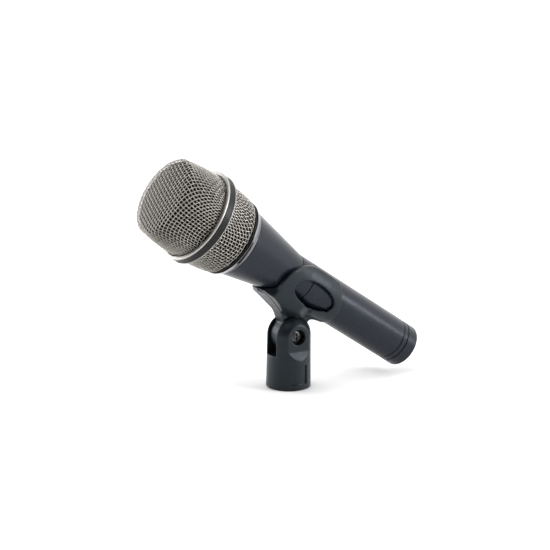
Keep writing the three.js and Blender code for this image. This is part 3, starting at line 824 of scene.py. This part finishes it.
def rear_profile(inset, front):
    """Rear grille as one cup: a flat back that the neck passes through, then the side up to the ring."""
    points = [(r, REAR_GRILLE_FOOT + inset) for r in np.linspace(0, 18.5, 12)]
    points += bezier(
        (18.5, REAR_GRILLE_FOOT + inset), (20.6 - inset, REAR_GRILLE_FOOT + inset),
        (21.7 - inset, 63.2), (22.0 - inset, 65.2), 12,
    )
    return points + [(22.6 - inset, 68.5), (23.15 - inset, 74.0), (23.8 - inset, 80.3), (24.9 - inset, front)]


def build_front_grille(sizes):
    inset = sizes.wire_thickness / MM
    sheet = DrawnSheet(front_profile(inset, 70.0), GRILLE_SHOULDER - inset, FRONT_RIM, 1)
    points, faces = weave(sheet, sizes, SHEET_REACH, lambda p: p[:, 2] > RING_FRONT - 1.6)
    store("woven_front_grille", points, faces, "mesh_nickel", "head", ["front_grille"], smooth_angle=80)


def build_rear_grille(sizes):
    inset = sizes.wire_thickness / MM
    sheet = DrawnSheet(rear_profile(inset, 92.0), REAR_RIM_STATION, REAR_RIM, -1)

    def keep(p):
        return (p[:, 2] < RING_REAR - 0.35) & (np.hypot(p[:, 0], p[:, 1]) > REAR_GRILLE_OPENING)

    points, faces = weave(sheet, sizes, SHEET_REACH, keep)
    store("woven_rear_grille", points, faces, "mesh_nickel", "head", ["rear_grille"], smooth_angle=80)


def cut_foam(name, points, faces, node):
    """Stores a foam piece, its surface slightly uneven as cut foam is."""
    points = np.array([point * (1 - 0.0015 * (1 + noise.noise(Vector(point) * 1.3))) for point in points])
    store(name, points, faces, "black_foam", "head", [node])


def build_foam():
    outer = front_profile(1.35, RING_REAR + 2.2, 24)
    inner = front_profile(4.8, RING_REAR + 2.2, 24)[::-1]
    cut_foam("foam_cup", *capped_lathe([*outer, *inner], 96), "foam_liner")
    sleeve = [
        (FOAM_SLEEVE_REAR_RADIUS, FOAM_SLEEVE_REAR, 0.5), (21.3, 68.5), (21.85, 74.0),
        (FOAM_SLEEVE_FRONT_RADIUS, FOAM_SLEEVE_FRONT, 0.5),
        (FOAM_SLEEVE_FRONT_RADIUS - FOAM_SLEEVE_WALL, FOAM_SLEEVE_FRONT, 0.5),
        (21.85 - FOAM_SLEEVE_WALL, 74.0), (21.3 - FOAM_SLEEVE_WALL, 68.5),
        (FOAM_SLEEVE_REAR_RADIUS - FOAM_SLEEVE_WALL, FOAM_SLEEVE_REAR, 0.5),
    ]
    cut_foam("foam_sleeve_roll", *lathe(rounded(sleeve), 96), "foam_sleeve")


def build_head_rings():
    floor = RING_BORE + 0.65
    turned("turned_grille_ring", [
        (RING_BORE, RING_REAR, 0.1), (BAND_RADIUS, RING_REAR, 0.18), (BAND_RADIUS, RING_REAR + 0.45, 0.18),
        (floor, RING_REAR + 0.45, 0.1), (floor, RING_FRONT - 0.9, 0.1), (RING_RADIUS, RING_FRONT - 0.9, 0.15),
        (RING_RADIUS, RING_FRONT, 0.7), (RING_BORE, RING_FRONT, 0.35),
    ], "satin_nickel", "head", ["grille_ring"])
    turned("moulded_bumper_band", [
        (floor + GAP, RING_REAR + 0.6, 0.1), (BAND_RADIUS, RING_REAR + 0.6, 0.3),
        (BAND_RADIUS, RING_FRONT - 1.05, 0.3), (floor + GAP, RING_FRONT - 1.05, 0.1),
    ], "black_rubber", "head", ["bumper_band"])
    turned("cut_base_gasket", [
        (NECK_RADIUS + GAP, COLLAR_FRONT + 0.25, 0.1), (20.7, COLLAR_FRONT + 0.25, 0.3),
        (20.7, REAR_GRILLE_FOOT - 0.3, 0.3), (NECK_RADIUS + GAP, REAR_GRILLE_FOOT - 0.3, 0.1),
    ], "black_rubber", "head", ["base_gasket"])
    turned("polished_collar", [
        (COLLAR_BORE, COLLAR_REAR, 0.1), (COLLAR_REAR_RADIUS - 0.05, COLLAR_REAR, 0.3),
        (COLLAR_REAR_RADIUS + 0.25, COLLAR_REAR + 1.5, 2.5),
        (COLLAR_FRONT_RADIUS, COLLAR_FRONT - 0.3, 0.5), (COLLAR_FRONT_RADIUS - 0.1, COLLAR_FRONT, 0.2),
        (COLLAR_BORE, COLLAR_FRONT, 0.1),
    ], "polished_steel", "head", ["collar_ring"])


def lacquered(name, outline, node):
    turned("lacquered_" + name, outline, "dark_lacquer", "microphone", [node])


def build_handle():
    cone_front = COLLAR_REAR - GAP
    lacquered("cone", [
        (TUBE_RADIUS - 1.9, CONE_REAR, 0.1), (TUBE_RADIUS + 0.02, CONE_REAR, 0.28),
        (CONE_FRONT_RADIUS, cone_front, 0.4), (NECK_RADIUS, cone_front, 0.15),
        (NECK_RADIUS, NECK_FRONT, 0.25), (NECK_RADIUS - NECK_WALL, NECK_FRONT, 0.15),
        (NECK_RADIUS - NECK_WALL, cone_front - 4, 0.3),
    ], "handle_front")
    sleeve, rear, front = SOCKET_RADIUS - GAP, JOINT_RING_REAR, CONE_REAR - GAP
    lacquered("joint_ring", [
        (sleeve, rear - 6, 0.1), (sleeve, rear, 0.1), (TUBE_RADIUS, rear, 0.25), (TUBE_RADIUS, front, 0.25),
        (sleeve, front, 0.1), (sleeve, CONE_REAR + 5, 0.1), (sleeve - 1.2, CONE_REAR + 5, 0.1),
        (sleeve - 1.2, rear - 6, 0.1),
    ], "joint_ring")
    front = JOINT_RING_REAR - GAP
    lacquered("tube", [
        (SPIGOT_RADIUS, TAIL_END + 2.5, 0.15), (SPIGOT_RADIUS, TUBE_REAR, 0.1), (TUBE_RADIUS, TUBE_REAR, 0.3),
        (TUBE_RADIUS, front, 0.25), (SOCKET_RADIUS, front, 0.1), (SOCKET_RADIUS, TAIL_END + 2.5, 0.15),
    ], "handle_rear")
    lacquered("tail_ring", [
        (SPIGOT_RADIUS + GAP, TAIL_RING_REAR, 0.1), (TUBE_RADIUS - 0.05, TAIL_RING_REAR, 0.35),
        (TUBE_RADIUS - 0.05, TUBE_REAR - 0.35, 0.35), (SPIGOT_RADIUS + GAP, TUBE_REAR - 0.35, 0.1),
    ], "tail_ring")
    cap_front = TAIL_RING_REAR - 0.35
    lacquered("tail_cap", [
        (SPIGOT_RADIUS + GAP, cap_front, 0.1), (TUBE_RADIUS, cap_front, 0.35), (TUBE_RADIUS, TAIL_END, 1.4),
        (SOCKET_RADIUS, TAIL_END, 0.35), (SOCKET_RADIUS, TAIL_END + 2.2, 0.1),
        (SPIGOT_RADIUS + GAP, TAIL_END + 2.2, 0.1),
    ], "tail_cap")


def build_connector():
    def insert(x, y, z):
        disc = smooth_most(
            np.hypot(x, y) - (SOCKET_RADIUS - GAP), np.abs(z - (INSERT_FRONT + INSERT_REAR) / 2) - 2.5, 0.3,
        )
        for px, py in PIN_PLACES:
            disc = smooth_most(disc, PIN_RADIUS + GAP - np.hypot(x - px, y - py), 0.2)
            collar = smooth_most(np.hypot(x - px, y - py) - 2.3, 1.5 - np.hypot(x - px, y - py), 0.2)
            collar = smooth_most(collar, INSERT_REAR - 0.05 - z, 0.1)
            disc = smooth_most(disc, -smooth_most(collar, z - INSERT_REAR - 0.5, 0.1), 0.1)
        return disc

    reach = SOCKET_RADIUS + 0.6
    moulded(
        "connector_disc", insert, (-reach, -reach, INSERT_REAR - 1), (reach, reach, INSERT_FRONT + 1),
        0.26, "black_plastic", "microphone", ["connector_insert"], MICROPHONE,
    )
    for k, (x, y) in enumerate(PIN_PLACES, 1):
        profile = [(0, PIN_REAR), (0.35, PIN_REAR + 0.02), (0.75, PIN_REAR + 0.18), (1.05, PIN_REAR + 0.5)]
        profile += [(PIN_RADIUS, PIN_REAR + 1.0), (PIN_RADIUS, -54), (PIN_RADIUS, INSERT_FRONT + 2.9)]
        profile += [(PIN_RADIUS - 0.1, INSERT_FRONT + 3), (0, INSERT_FRONT + 3)]
        points, faces = capped_lathe(profile, 32)
        points = points + np.array([x, y, 0])
        store(f"turned_pin_{k}", points, faces, "contact_silver", "microphone", [f"connector_pin_{k}"])


def holder_arm_outline():
    """Side view of the arms as (upward, station) points."""
    outline = [(10.2, -6.5), (10.2, 9.5)]
    outline += bezier((10.2, 9.5), (9.6, 19), (2, 28.6), (-6, 28.6), 14)
    outline += bezier((-6, 28.6), (-11.5, 28.6), (-14.3, 22), (-15.6, 15.5), 12)
    outline += bezier((-15.6, 15.5), (-16.2, 12.5), (-17, 10.5), (-19, 9.0), 6)
    outline += [(-19, -14)]
    outline += bezier((-19, -14), (-14, -14.5), (-8, -15.5), (-2, -12.5), 12)
    outline += bezier((-2, -12.5), (3, -10), (8.5, -9.5), (10.2, -6.5), 12)
    return outline


def holder_keel_outline():
    """Side view of the keel and the tongue's round end as (upward, station) points."""
    outline = [(-12.0, 30.4), (-15.2, 31.2)]
    outline += bezier((-15.2, 31.2), (-16.6, 23), (-18.4, 14), (-24, 9.0), 16)
    for i in range(0, 25):
        angle = math.pi * i / 24
        outline.append((-AXIS_OFFSET - KNUCKLE_RADIUS * math.sin(angle), KNUCKLE_RADIUS * math.cos(angle)))
    outline += bezier((-AXIS_OFFSET, -KNUCKLE_RADIUS), (-21.5, -9.2), (-18.5, -2.5), (-15.5, -5.0), 14)
    outline += bezier((-15.5, -5.0), (-14.3, -6.0), (-13.5, -8.5), (-12.5, -11.5), 6)
    return outline


def holder_bow_outline():
    """Side view of the bow in front of the keel as (upward, station) points."""
    outline = [(-8, 29.6), (-12.6, 30.4), (-15.2, 31.2)]
    outline += bezier((-15.2, 31.2), (-16.6, 23), (-18.4, 14), (-24, 9.0), 16)
    outline += bezier((-22.6, 6.6), (-18, 4), (-14, -3), (-8, -3), 12)
    return outline


def holder_field(x, y, z):
    """Distance to the clip holder: two springy arms over a bow-shaped keel, with a window in each arm."""
    radius = np.hypot(x, y)
    widening = CONE_SLOPE * np.maximum(z - CONE_REAR, 0)
    outside = radius - np.interp(z, *ARM_RADII)
    bore = SLEEVE_BORE + widening - radius
    arms = smooth_most(outside, outline_distance(x, z, ARM_OUTLINE), 0.9)
    below = np.degrees(np.arctan2(np.abs(y), -x))
    shell = radius - SLEEVE_BORE - widening - SHELL_WALL
    shell = smooth_most(shell, 0.8 * (z - np.interp(below, *SHELL_LIP)), 0.8)
    shell = smooth_most(shell, x - SHELL_TOP, 0.5)
    shell = smooth_most(shell, SHELL_REAR - z, 0.5)
    body = smooth_least(arms, shell, 0.5)
    keel = outline_distance(x, z, KEEL_OUTLINE)
    web = smooth_most(keel, np.abs(y) - TONGUE_HALF_WIDTH, 0.6)
    fade = np.clip((z - BOW_FADE_START) / BOW_FADE_LENGTH, 0, 1)
    flare = np.interp(x, *BOW_WIDTHS) * fade * fade * (3 - 2 * fade)
    bow = outline_distance(x, z, BOW_OUTLINE)
    bow = smooth_most(bow, 0.7 * (np.abs(y) - TONGUE_HALF_WIDTH - flare), 0.4)
    bow = smooth_most(bow, 0.8 * (z - np.interp(np.abs(y), *BOW_FRONT)), 0.4)
    ears = EAR_CLEARANCE - np.sqrt((x + AXIS_OFFSET) ** 2 + y ** 2 + z ** 2)
    body = smooth_least(body, smooth_least(bow, web, 1.0), 1.6)
    body = smooth_most(body, np.where(np.abs(y) > TONGUE_HALF_WIDTH, ears, -9.0), 0.1)
    body = smooth_most(body, bore, 0.7)
    window = np.hypot((z - WINDOW_STATION) / WINDOW_HALF_LENGTH, (x - WINDOW_HEIGHT) / WINDOW_HALF_HEIGHT) - 1
    window = np.maximum(window * WINDOW_HALF_HEIGHT, 5 - np.abs(y))
    body = smooth_most(body, -window, 0.6)
    notch = np.hypot(z - NOTCH_STATION, x - NOTCH_HEIGHT) - NOTCH_RADIUS
    body = smooth_most(body, -np.maximum(notch, 5 - np.abs(y)), 0.4)
    pivot = SHANK_RADIUS + GAP - np.hypot(x + AXIS_OFFSET, z)
    return smooth_most(body, pivot, 0.3)


# Pairs of rows: the arms' outer radius by station, the shell's lip by degrees from below, the bow's
# front by distance from the middle.
ARM_RADII = ((-16, -12, -6, 0, 6, 14, 20, 31), (12.9, 13.4, 14.1, 14.7, 14.9, 14.9, 15.4, 16.9))
SHELL_LIP = ((0, 5, 10, 17, 28, 40, 55), (31, 29.6, 27.6, 25.9, 25.2, 25.4, 27.5))
BOW_FRONT = ((0, 5.5, 8, 10.5, 13), (40, 33, 28.6, 27.2, 26.8))
BOW_FADE_START = -3
BOW_FADE_LENGTH = 13
EAR_CLEARANCE = BASE_TOP_RADIUS + 0.4
WINDOW_STATION = 6.2
WINDOW_HEIGHT = -4.3
WINDOW_HALF_LENGTH = 14.2
WINDOW_HALF_HEIGHT = 6.7
NOTCH_STATION = -6.2
NOTCH_HEIGHT = -7.0
NOTCH_RADIUS = 1.2
SHELL_WALL = 1.7
SHELL_TOP = -10.2
SHELL_REAR = 6
ARM_OUTLINE = holder_arm_outline()
KEEL_OUTLINE = holder_keel_outline()
BOW_OUTLINE = holder_bow_outline()
# How much wider than the tongue each side of the bow is, by height.
BOW_WIDTHS = np.array(bezier((-20.2, 0.0), (-19.2, 3.0), (-17, 9.2), (-8, 8.8), 24)).T


def build_clip_holder(sizes):
    moulded(
        "moulded_clip_holder", holder_field, (-38, -18, -17), (13, 18, 33), sizes.moulded_cell / MM,
        "clip_plastic", "clip_cradle", ["clip_holder"], MICROPHONE,
    )


def hexagon(x, rise):
    """Distance from the middle of a hexagon, measured square to its nearest side."""
    return np.maximum(np.abs(rise) * math.cos(math.pi / 6) + np.abs(x) * 0.5, np.abs(x))


def base_field(x, y, z):
    """Distance to the clip base: a round foot with two ears, a slot between them and a flat on each."""
    rise = z - PIVOT_HEIGHT
    radius = np.hypot(x, y)
    narrowing = (BASE_BOTTOM_RADIUS - BASE_TOP_RADIUS) * np.clip(z / PIVOT_HEIGHT, 0, 1)
    side = radius - BASE_BOTTOM_RADIUS + narrowing
    crown = np.sqrt(radius ** 2 + rise ** 2) - BASE_TOP_RADIUS
    body = np.where(rise > 0, crown, side)
    body = smooth_most(body, -z, 0.9)
    slope = math.hypot(1, RAMP_SLOPE)
    ramp = (np.abs(y) - EAR_FLAT - (RAMP_TOP - z) / RAMP_SLOPE) * RAMP_SLOPE / slope
    flat = smooth_least(np.abs(y) - EAR_FLAT, ramp, 0.3)
    body = smooth_most(body, flat, 0.3)
    body = smooth_most(body, -smooth_most(np.abs(y) - SLOT_HALF_WIDTH, SLOT_FLOOR - z, 0.6), 0.6)
    head_hole = COUNTERBORE_RADIUS - np.hypot(x, rise)
    body = smooth_most(body, -smooth_most(-head_hole, COUNTERBORE_FLOOR + y, 0.3), 0.4)
    nut_pocket = smooth_most(hexagon(x, rise) - NUT_HALF_WIDTH - 0.35, COUNTERBORE_FLOOR - y, 0.3)
    body = smooth_most(body, -nut_pocket, 0.4)
    body = smooth_most(body, SHANK_RADIUS + GAP - np.hypot(x, rise), 0.3)
    label = np.maximum(np.abs(x) - LABEL_HALF_WIDTH, np.abs(z - LABEL_MIDDLE) - LABEL_HALF_HEIGHT)
    label = smooth_most(label, LABEL_FLOOR_RADIUS - radius, 0.15)
    body = smooth_most(body, -np.maximum(label, y), 0.25)
    pocket = smooth_most(radius - INSERT_SLEEVE_RADIUS - GAP, z - INSERT_SLEEVE_HEIGHT - GAP, 0.3)
    body = smooth_most(body, -pocket, 0.4)
    relief = smooth_most(radius - STAND_THREAD_RADIUS, z - STAND_HOLE_DEPTH, 0.5)
    return smooth_most(body, -relief, 0.3)


def build_clip_base(sizes):
    moulded(
        "moulded_clip_base", base_field, (-13, -13, -1), (13, 13, 41.5), 0.9 * sizes.moulded_cell / MM,
        "clip_plastic", "clip_foot", ["clip_base"],
    )


def build_fasteners():
    def thread(x, y, z):
        radius = np.hypot(x, y)
        phase = (z / STAND_THREAD_PITCH - np.arctan2(y, x) / (2 * math.pi)) % 1.0
        groove = 0.5 * (1 - np.abs(2 * phase - 1))
        body = (STAND_THREAD_RADIUS + groove - radius) * 0.7
        body = smooth_most(radius - INSERT_SLEEVE_RADIUS, body, 0.15)
        middle = (0.3 + INSERT_SLEEVE_HEIGHT) / 2
        return smooth_most(body, np.abs(z - middle) - (INSERT_SLEEVE_HEIGHT - 0.3) / 2, 0.3)

    def screw(x, y, z):
        rise = z - PIVOT_HEIGHT
        radius = np.hypot(x, rise)
        head = smooth_most(radius - SCREW_HEAD_RADIUS, -8.0 - y + 0.054 * radius ** 2, 0.5)
        head = smooth_most(head, y + COUNTERBORE_FLOOR + GAP, 0.1)
        shank = smooth_most(radius - SHANK_RADIUS, y - 9.0, 0.3)
        shank = smooth_most(shank, -y - 7.2, 0.1)
        body = smooth_least(head, shank, 0.15)
        wide, tall = np.abs(x), np.abs(rise)
        recess = np.minimum(np.maximum(wide - 2.0, tall - 0.42), np.maximum(tall - 2.0, wide - 0.42))
        floor = -7.0 - 0.35 * radius
        return smooth_most(body, -smooth_most(recess, y - floor - 0.55, 0.1), 0.15)

    def nut(x, y, z):
        rise = z - PIVOT_HEIGHT
        body = smooth_most(hexagon(x, rise) - NUT_HALF_WIDTH, np.abs(y - 7.9) - 1.4, 0.25)
        body = smooth_most(body, np.hypot(x, rise) - 4.0, 0.3)
        return smooth_most(body, SHANK_RADIUS + GAP - np.hypot(x, rise), 0.2)

    low, high = PIVOT_HEIGHT - 4.2, PIVOT_HEIGHT + 4.2
    moulded(
        "threaded_insert", thread, (-10.2, -10.2, -0.3), (10.2, 10.2, 13), 0.28, "brass", "clip_foot",
        ["thread_insert"],
    )
    moulded(
        "cross_head_screw", screw, (-4.2, -8.6, low), (4.2, 9.6, high), 0.13, "black_steel", "clip_foot",
        ["pivot_screw"],
    )
    moulded(
        "hexagon_nut", nut, (-4.6, 6.0, low - 0.4), (4.6, 9.9, high + 0.4), 0.16, "zinc_steel", "clip_foot",
        ["pivot_nut"],
    )


def build_capsule():
    flange, outer, inner = NECK_RADIUS - 0.3, NECK_RADIUS - NECK_WALL - GAP, CAPSULE_RADIUS + GAP
    turned("moulded_shock_mount", [
        (outer, CAPSULE_REAR - 2.5, 0.3), (outer, NECK_FRONT + 1, 0.1), (flange, NECK_FRONT + 1, 0.3),
        (flange, NECK_FRONT + 3, 0.5), (inner, NECK_FRONT + 3, 0.3), (inner, CAPSULE_REAR - 0.5, 0.1),
        (inner - 2.5, CAPSULE_REAR - 0.5, 0.3), (inner - 2.5, CAPSULE_REAR - 2.5, 0.3),
    ], "black_rubber", "microphone", ["shock_mount"])
    turned("drawn_capsule_housing", [
        (CAPSULE_RADIUS - 1, CAPSULE_REAR, 0.1), (CAPSULE_RADIUS, CAPSULE_REAR, 0.35),
        (CAPSULE_RADIUS, 76.0, 0.1), (CAPSULE_RADIUS - 0.35, 76.4, 0.1), (CAPSULE_RADIUS - 0.35, 77.6, 0.1),
        (CAPSULE_RADIUS, 78.0, 0.1), (CAPSULE_RADIUS, CAPSULE_FRONT, 0.2),
        (CAPSULE_RADIUS - 1, CAPSULE_FRONT, 0.1),
    ], "zinc_steel", "microphone", ["capsule_housing"], segments=96)

    def cover(x, y, z):
        radius = np.hypot(x, y)
        top = 87.4 - np.clip(radius - 9, 0, 4) * 0.3
        shell = smooth_most(radius - CAPSULE_RADIUS, z - top, 0.6)
        shell = smooth_most(shell, CAPSULE_FRONT + GAP - z, 0.1)
        hollow = smooth_most(radius - CAPSULE_RADIUS + 1.2, z - (86.2 - 0.045 * radius), 0.3)
        shell = smooth_most(shell, -hollow, 0.2)
        for k in range(6):
            angle = 2 * math.pi * k / 6
            hole = np.hypot(x - 6 * math.cos(angle), y - 6 * math.sin(angle)) - 1.5
            shell = smooth_most(shell, -hole, 0.25)
        return shell

    moulded(
        "pierced_capsule_cover", cover, (-13, -13, 84.2), (13, 13, 88.1), 0.24, "zinc_steel", "microphone",
        ["capsule_cover"], MICROPHONE,
    )


def finish_inner_nodes():
    """Gives the sealed inner pieces, which keep their frame meshes, their finishes."""
    slots = {
        "connector_set_screw": "zinc_steel", "signal_lead_hot": "red_wire", "signal_lead_cold": "white_wire",
        "terminal_board": "board_green", "magnet_yoke": "magnet_metal", "magnet": "magnet_metal",
        "pole_piece": "magnet_metal", "voice_coil": "copper", "diaphragm": "film",
    }
    for node, slot in slots.items():
        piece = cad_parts[node]
        piece.data.materials.clear()
        piece.data.materials.append(finish(slot))


# ---- stage ----

VIEW_AZIMUTH = math.radians(-31.339)
VIEW_ELEVATION = math.radians(11.977)
VIEW_ROLL = math.radians(0.703)
VIEW_DISTANCE = 860.477
VIEW_SIDE = -7.536
VIEW_RISE = 31.687
LENS = 104.8

# The room: how bright it is from behind the microphone (0) round to the dark side in front (1).
DARK_SIDE = (-0.35, -0.93, 0.10)
ROOM_LEVELS = ((0.0, 1.0), (0.5, 0.95), (0.66, 0.55), (0.80, 0.10), (1.0, 0.03))
ROOM_STRENGTH = 1.7


def view_axes():
    """Right, up and back directions of the camera."""
    back = Vector((
        math.sin(VIEW_AZIMUTH) * math.cos(VIEW_ELEVATION),
        -math.cos(VIEW_AZIMUTH) * math.cos(VIEW_ELEVATION), math.sin(VIEW_ELEVATION),
    ))
    level = Vector((math.cos(VIEW_AZIMUTH), math.sin(VIEW_AZIMUTH), 0))
    up = back.cross(level)
    right = math.cos(VIEW_ROLL) * level + math.sin(VIEW_ROLL) * up
    return right, math.cos(VIEW_ROLL) * up - math.sin(VIEW_ROLL) * level, back


def build_camera():
    right, up, back = view_axes()
    data = bpy.data.cameras.new("studio_camera")
    data.lens = LENS
    data.sensor_width = 36.0
    data.clip_start, data.clip_end = 0.05, 60.0
    camera = bpy.data.objects.new("studio_camera", data)
    place = Vector((0, 0, PIVOT_HEIGHT)) + VIEW_SIDE * right + VIEW_RISE * up + VIEW_DISTANCE * back
    camera.matrix_world = Matrix.Translation(place * MM) @ Matrix((right, up, back)).transposed().to_4x4()
    bpy.context.scene.collection.objects.link(camera)
    bpy.context.scene.camera = camera


def build_world():
    """Pale surroundings that fall off to a dark room in front of the microphone."""
    world = bpy.data.worlds.new("studio")
    world.use_nodes = True
    tree = world.node_tree
    background = tree.nodes["Background"]
    coordinates = tree.nodes.new("ShaderNodeTexCoord")
    facing = tree.nodes.new("ShaderNodeVectorMath")
    facing.operation = "DOT_PRODUCT"
    facing.inputs[1].default_value = Vector(DARK_SIDE).normalized()
    spread = tree.nodes.new("ShaderNodeMapRange")
    spread.inputs["From Min"].default_value = -1.0
    ramp = tree.nodes.new("ShaderNodeValToRGB")
    elements = ramp.color_ramp.elements
    while len(elements) < len(ROOM_LEVELS):
        elements.new(0.5)
    for element, (position, level) in zip(elements, ROOM_LEVELS):
        element.position = position
        element.color = (level, level, level, 1)
    tree.links.new(coordinates.outputs["Generated"], facing.inputs[0])
    tree.links.new(facing.outputs["Value"], spread.inputs["Value"])
    tree.links.new(spread.outputs["Result"], ramp.inputs["Fac"])
    tree.links.new(ramp.outputs["Color"], background.inputs["Color"])
    background.inputs["Strength"].default_value = ROOM_STRENGTH
    bpy.context.scene.world = world


def soft_light(name, azimuth, elevation, distance, size, watts, target=(0, 0, 60)):
    """A square soft light that faces the microphone; azimuth 0 is in front, on the -Y side."""
    a, e = math.radians(azimuth), math.radians(elevation)
    away = Vector((math.sin(a) * math.cos(e), -math.cos(a) * math.cos(e), math.sin(e)))
    data = bpy.data.lights.new(name, "AREA")
    data.shape = "SQUARE"
    data.size = size
    data.energy = watts
    light = bpy.data.objects.new(name, data)
    light.location = Vector(target) * MM + away * distance
    light.rotation_mode = "QUATERNION"
    light.rotation_quaternion = away.to_track_quat("Z", "Y")
    bpy.context.scene.collection.objects.link(light)


def build_floor():
    radius, segments = 14.0, 96
    points = [(0, 0, -0.0002)]
    for k in range(segments):
        angle = 2 * math.pi * k / segments
        points.append((radius * math.cos(angle), radius * math.sin(angle), -0.0002))
    faces = [(0, 1 + k, 1 + (k + 1) % segments) for k in range(segments)]
    mesh = bpy.data.meshes.new("studio_floor")
    mesh.from_pydata(points, [], faces)
    n = Nodes("studio_paper")
    tone = n.ramp(n.noise(3, 2), (0.3, (0.90, 0.90, 0.90)), (0.7, (0.915, 0.915, 0.915)))
    mesh.materials.append(n.dress(Base_Color=tone, Roughness=0.9, Specular_IOR_Level=0.1))
    floor = bpy.data.objects.new("studio_floor", mesh)
    bpy.context.scene.collection.objects.link(floor)


# ---- operators ----


class MICROPHONE_OT_stage(bpy.types.Operator):
    """Set up the camera, the pale floor and the soft studio light"""

    bl_idname = "microphone.stage"
    bl_label = "Stage"

    def execute(self, context):
        build_camera()
        build_world()
        build_floor()
        soft_light("overhead_light", -70, 66, 1.4, 0.9, 7)
        soft_light("right_light", 44, 18, 1.2, 0.55, 11)
        soft_light("left_light", -140, 10, 1.2, 0.6, 6)
        bpy.context.scene.view_settings.view_transform = "Standard"
        return {"FINISHED"}


class MICROPHONE_OT_grilles(bpy.types.Operator):
    """Weave the front and rear grilles and cut the foam behind them"""

    bl_idname = "microphone.grilles"
    bl_label = "Grilles and Foam"

    def execute(self, context):
        build_front_grille(context.scene.microphone_sizes)
        build_rear_grille(context.scene.microphone_sizes)
        build_foam()
        return {"FINISHED"}


class MICROPHONE_OT_rings(bpy.types.Operator):
    """Turn the grille ring and collar and mould the band and gasket"""

    bl_idname = "microphone.rings"
    bl_label = "Ring, Band and Collar"

    def execute(self, context):
        build_head_rings()
        return {"FINISHED"}


class MICROPHONE_OT_handle(bpy.types.Operator):
    """Turn the lacquered handle, its joint ring and its tail"""

    bl_idname = "microphone.handle"
    bl_label = "Handle"

    def execute(self, context):
        build_handle()
        return {"FINISHED"}


class MICROPHONE_OT_connector(bpy.types.Operator):
    """Mould the connector's disc and turn its pins"""

    bl_idname = "microphone.connector"
    bl_label = "Connector"

    def execute(self, context):
        build_connector()
        return {"FINISHED"}


class MICROPHONE_OT_capsule(bpy.types.Operator):
    """Make the capsule, its rubber mount and the inner pieces' finishes"""

    bl_idname = "microphone.capsule"
    bl_label = "Capsule"

    def execute(self, context):
        build_capsule()
        finish_inner_nodes()
        return {"FINISHED"}


class MICROPHONE_OT_clip_holder(bpy.types.Operator):
    """Mould the springy holder that grips the handle"""

    bl_idname = "microphone.clip_holder"
    bl_label = "Clip Holder"

    def execute(self, context):
        build_clip_holder(context.scene.microphone_sizes)
        return {"FINISHED"}


class MICROPHONE_OT_clip_base(bpy.types.Operator):
    """Mould the clip's base and make its screw, nut and threaded insert"""

    bl_idname = "microphone.clip_base"
    bl_label = "Clip Base"

    def execute(self, context):
        build_clip_base(context.scene.microphone_sizes)
        build_fasteners()
        return {"FINISHED"}


class MICROPHONE_PT_steps(bpy.types.Panel):
    """Lists the steps that build the microphone"""

    bl_label = "Handheld Microphone"
    bl_idname = "MICROPHONE_PT_steps"
    bl_space_type = "VIEW_3D"
    bl_region_type = "UI"
    bl_category = "Microphone"

    def draw(self, context):
        layout = self.layout
        for group in (context.scene.microphone_sizes, context.scene.microphone_colours):
            box = layout.box()
            for key in group.__annotations__:
                box.prop(group, key)
        for step in STEPS:
            layout.operator(step.bl_idname)


STEPS = (
    MICROPHONE_OT_stage,
    MICROPHONE_OT_grilles,
    MICROPHONE_OT_rings,
    MICROPHONE_OT_handle,
    MICROPHONE_OT_connector,
    MICROPHONE_OT_capsule,
    MICROPHONE_OT_clip_holder,
    MICROPHONE_OT_clip_base,
)
CLASSES = (MicrophoneSizes, MicrophoneColours, *STEPS, MICROPHONE_PT_steps)


def register():
    for cls in CLASSES:
        bpy.utils.register_class(cls)
    bpy.types.Scene.microphone_sizes = PointerProperty(type=MicrophoneSizes)
    bpy.types.Scene.microphone_colours = PointerProperty(type=MicrophoneColours)


def unregister():
    del bpy.types.Scene.microphone_colours
    del bpy.types.Scene.microphone_sizes
    for cls in reversed(CLASSES):
        bpy.utils.unregister_class(cls)


def main():
    register()
    for step in STEPS:
        category, name = step.bl_idname.split(".")
        getattr(getattr(bpy.ops, category), name)()


if __name__ == "__main__":
    main()
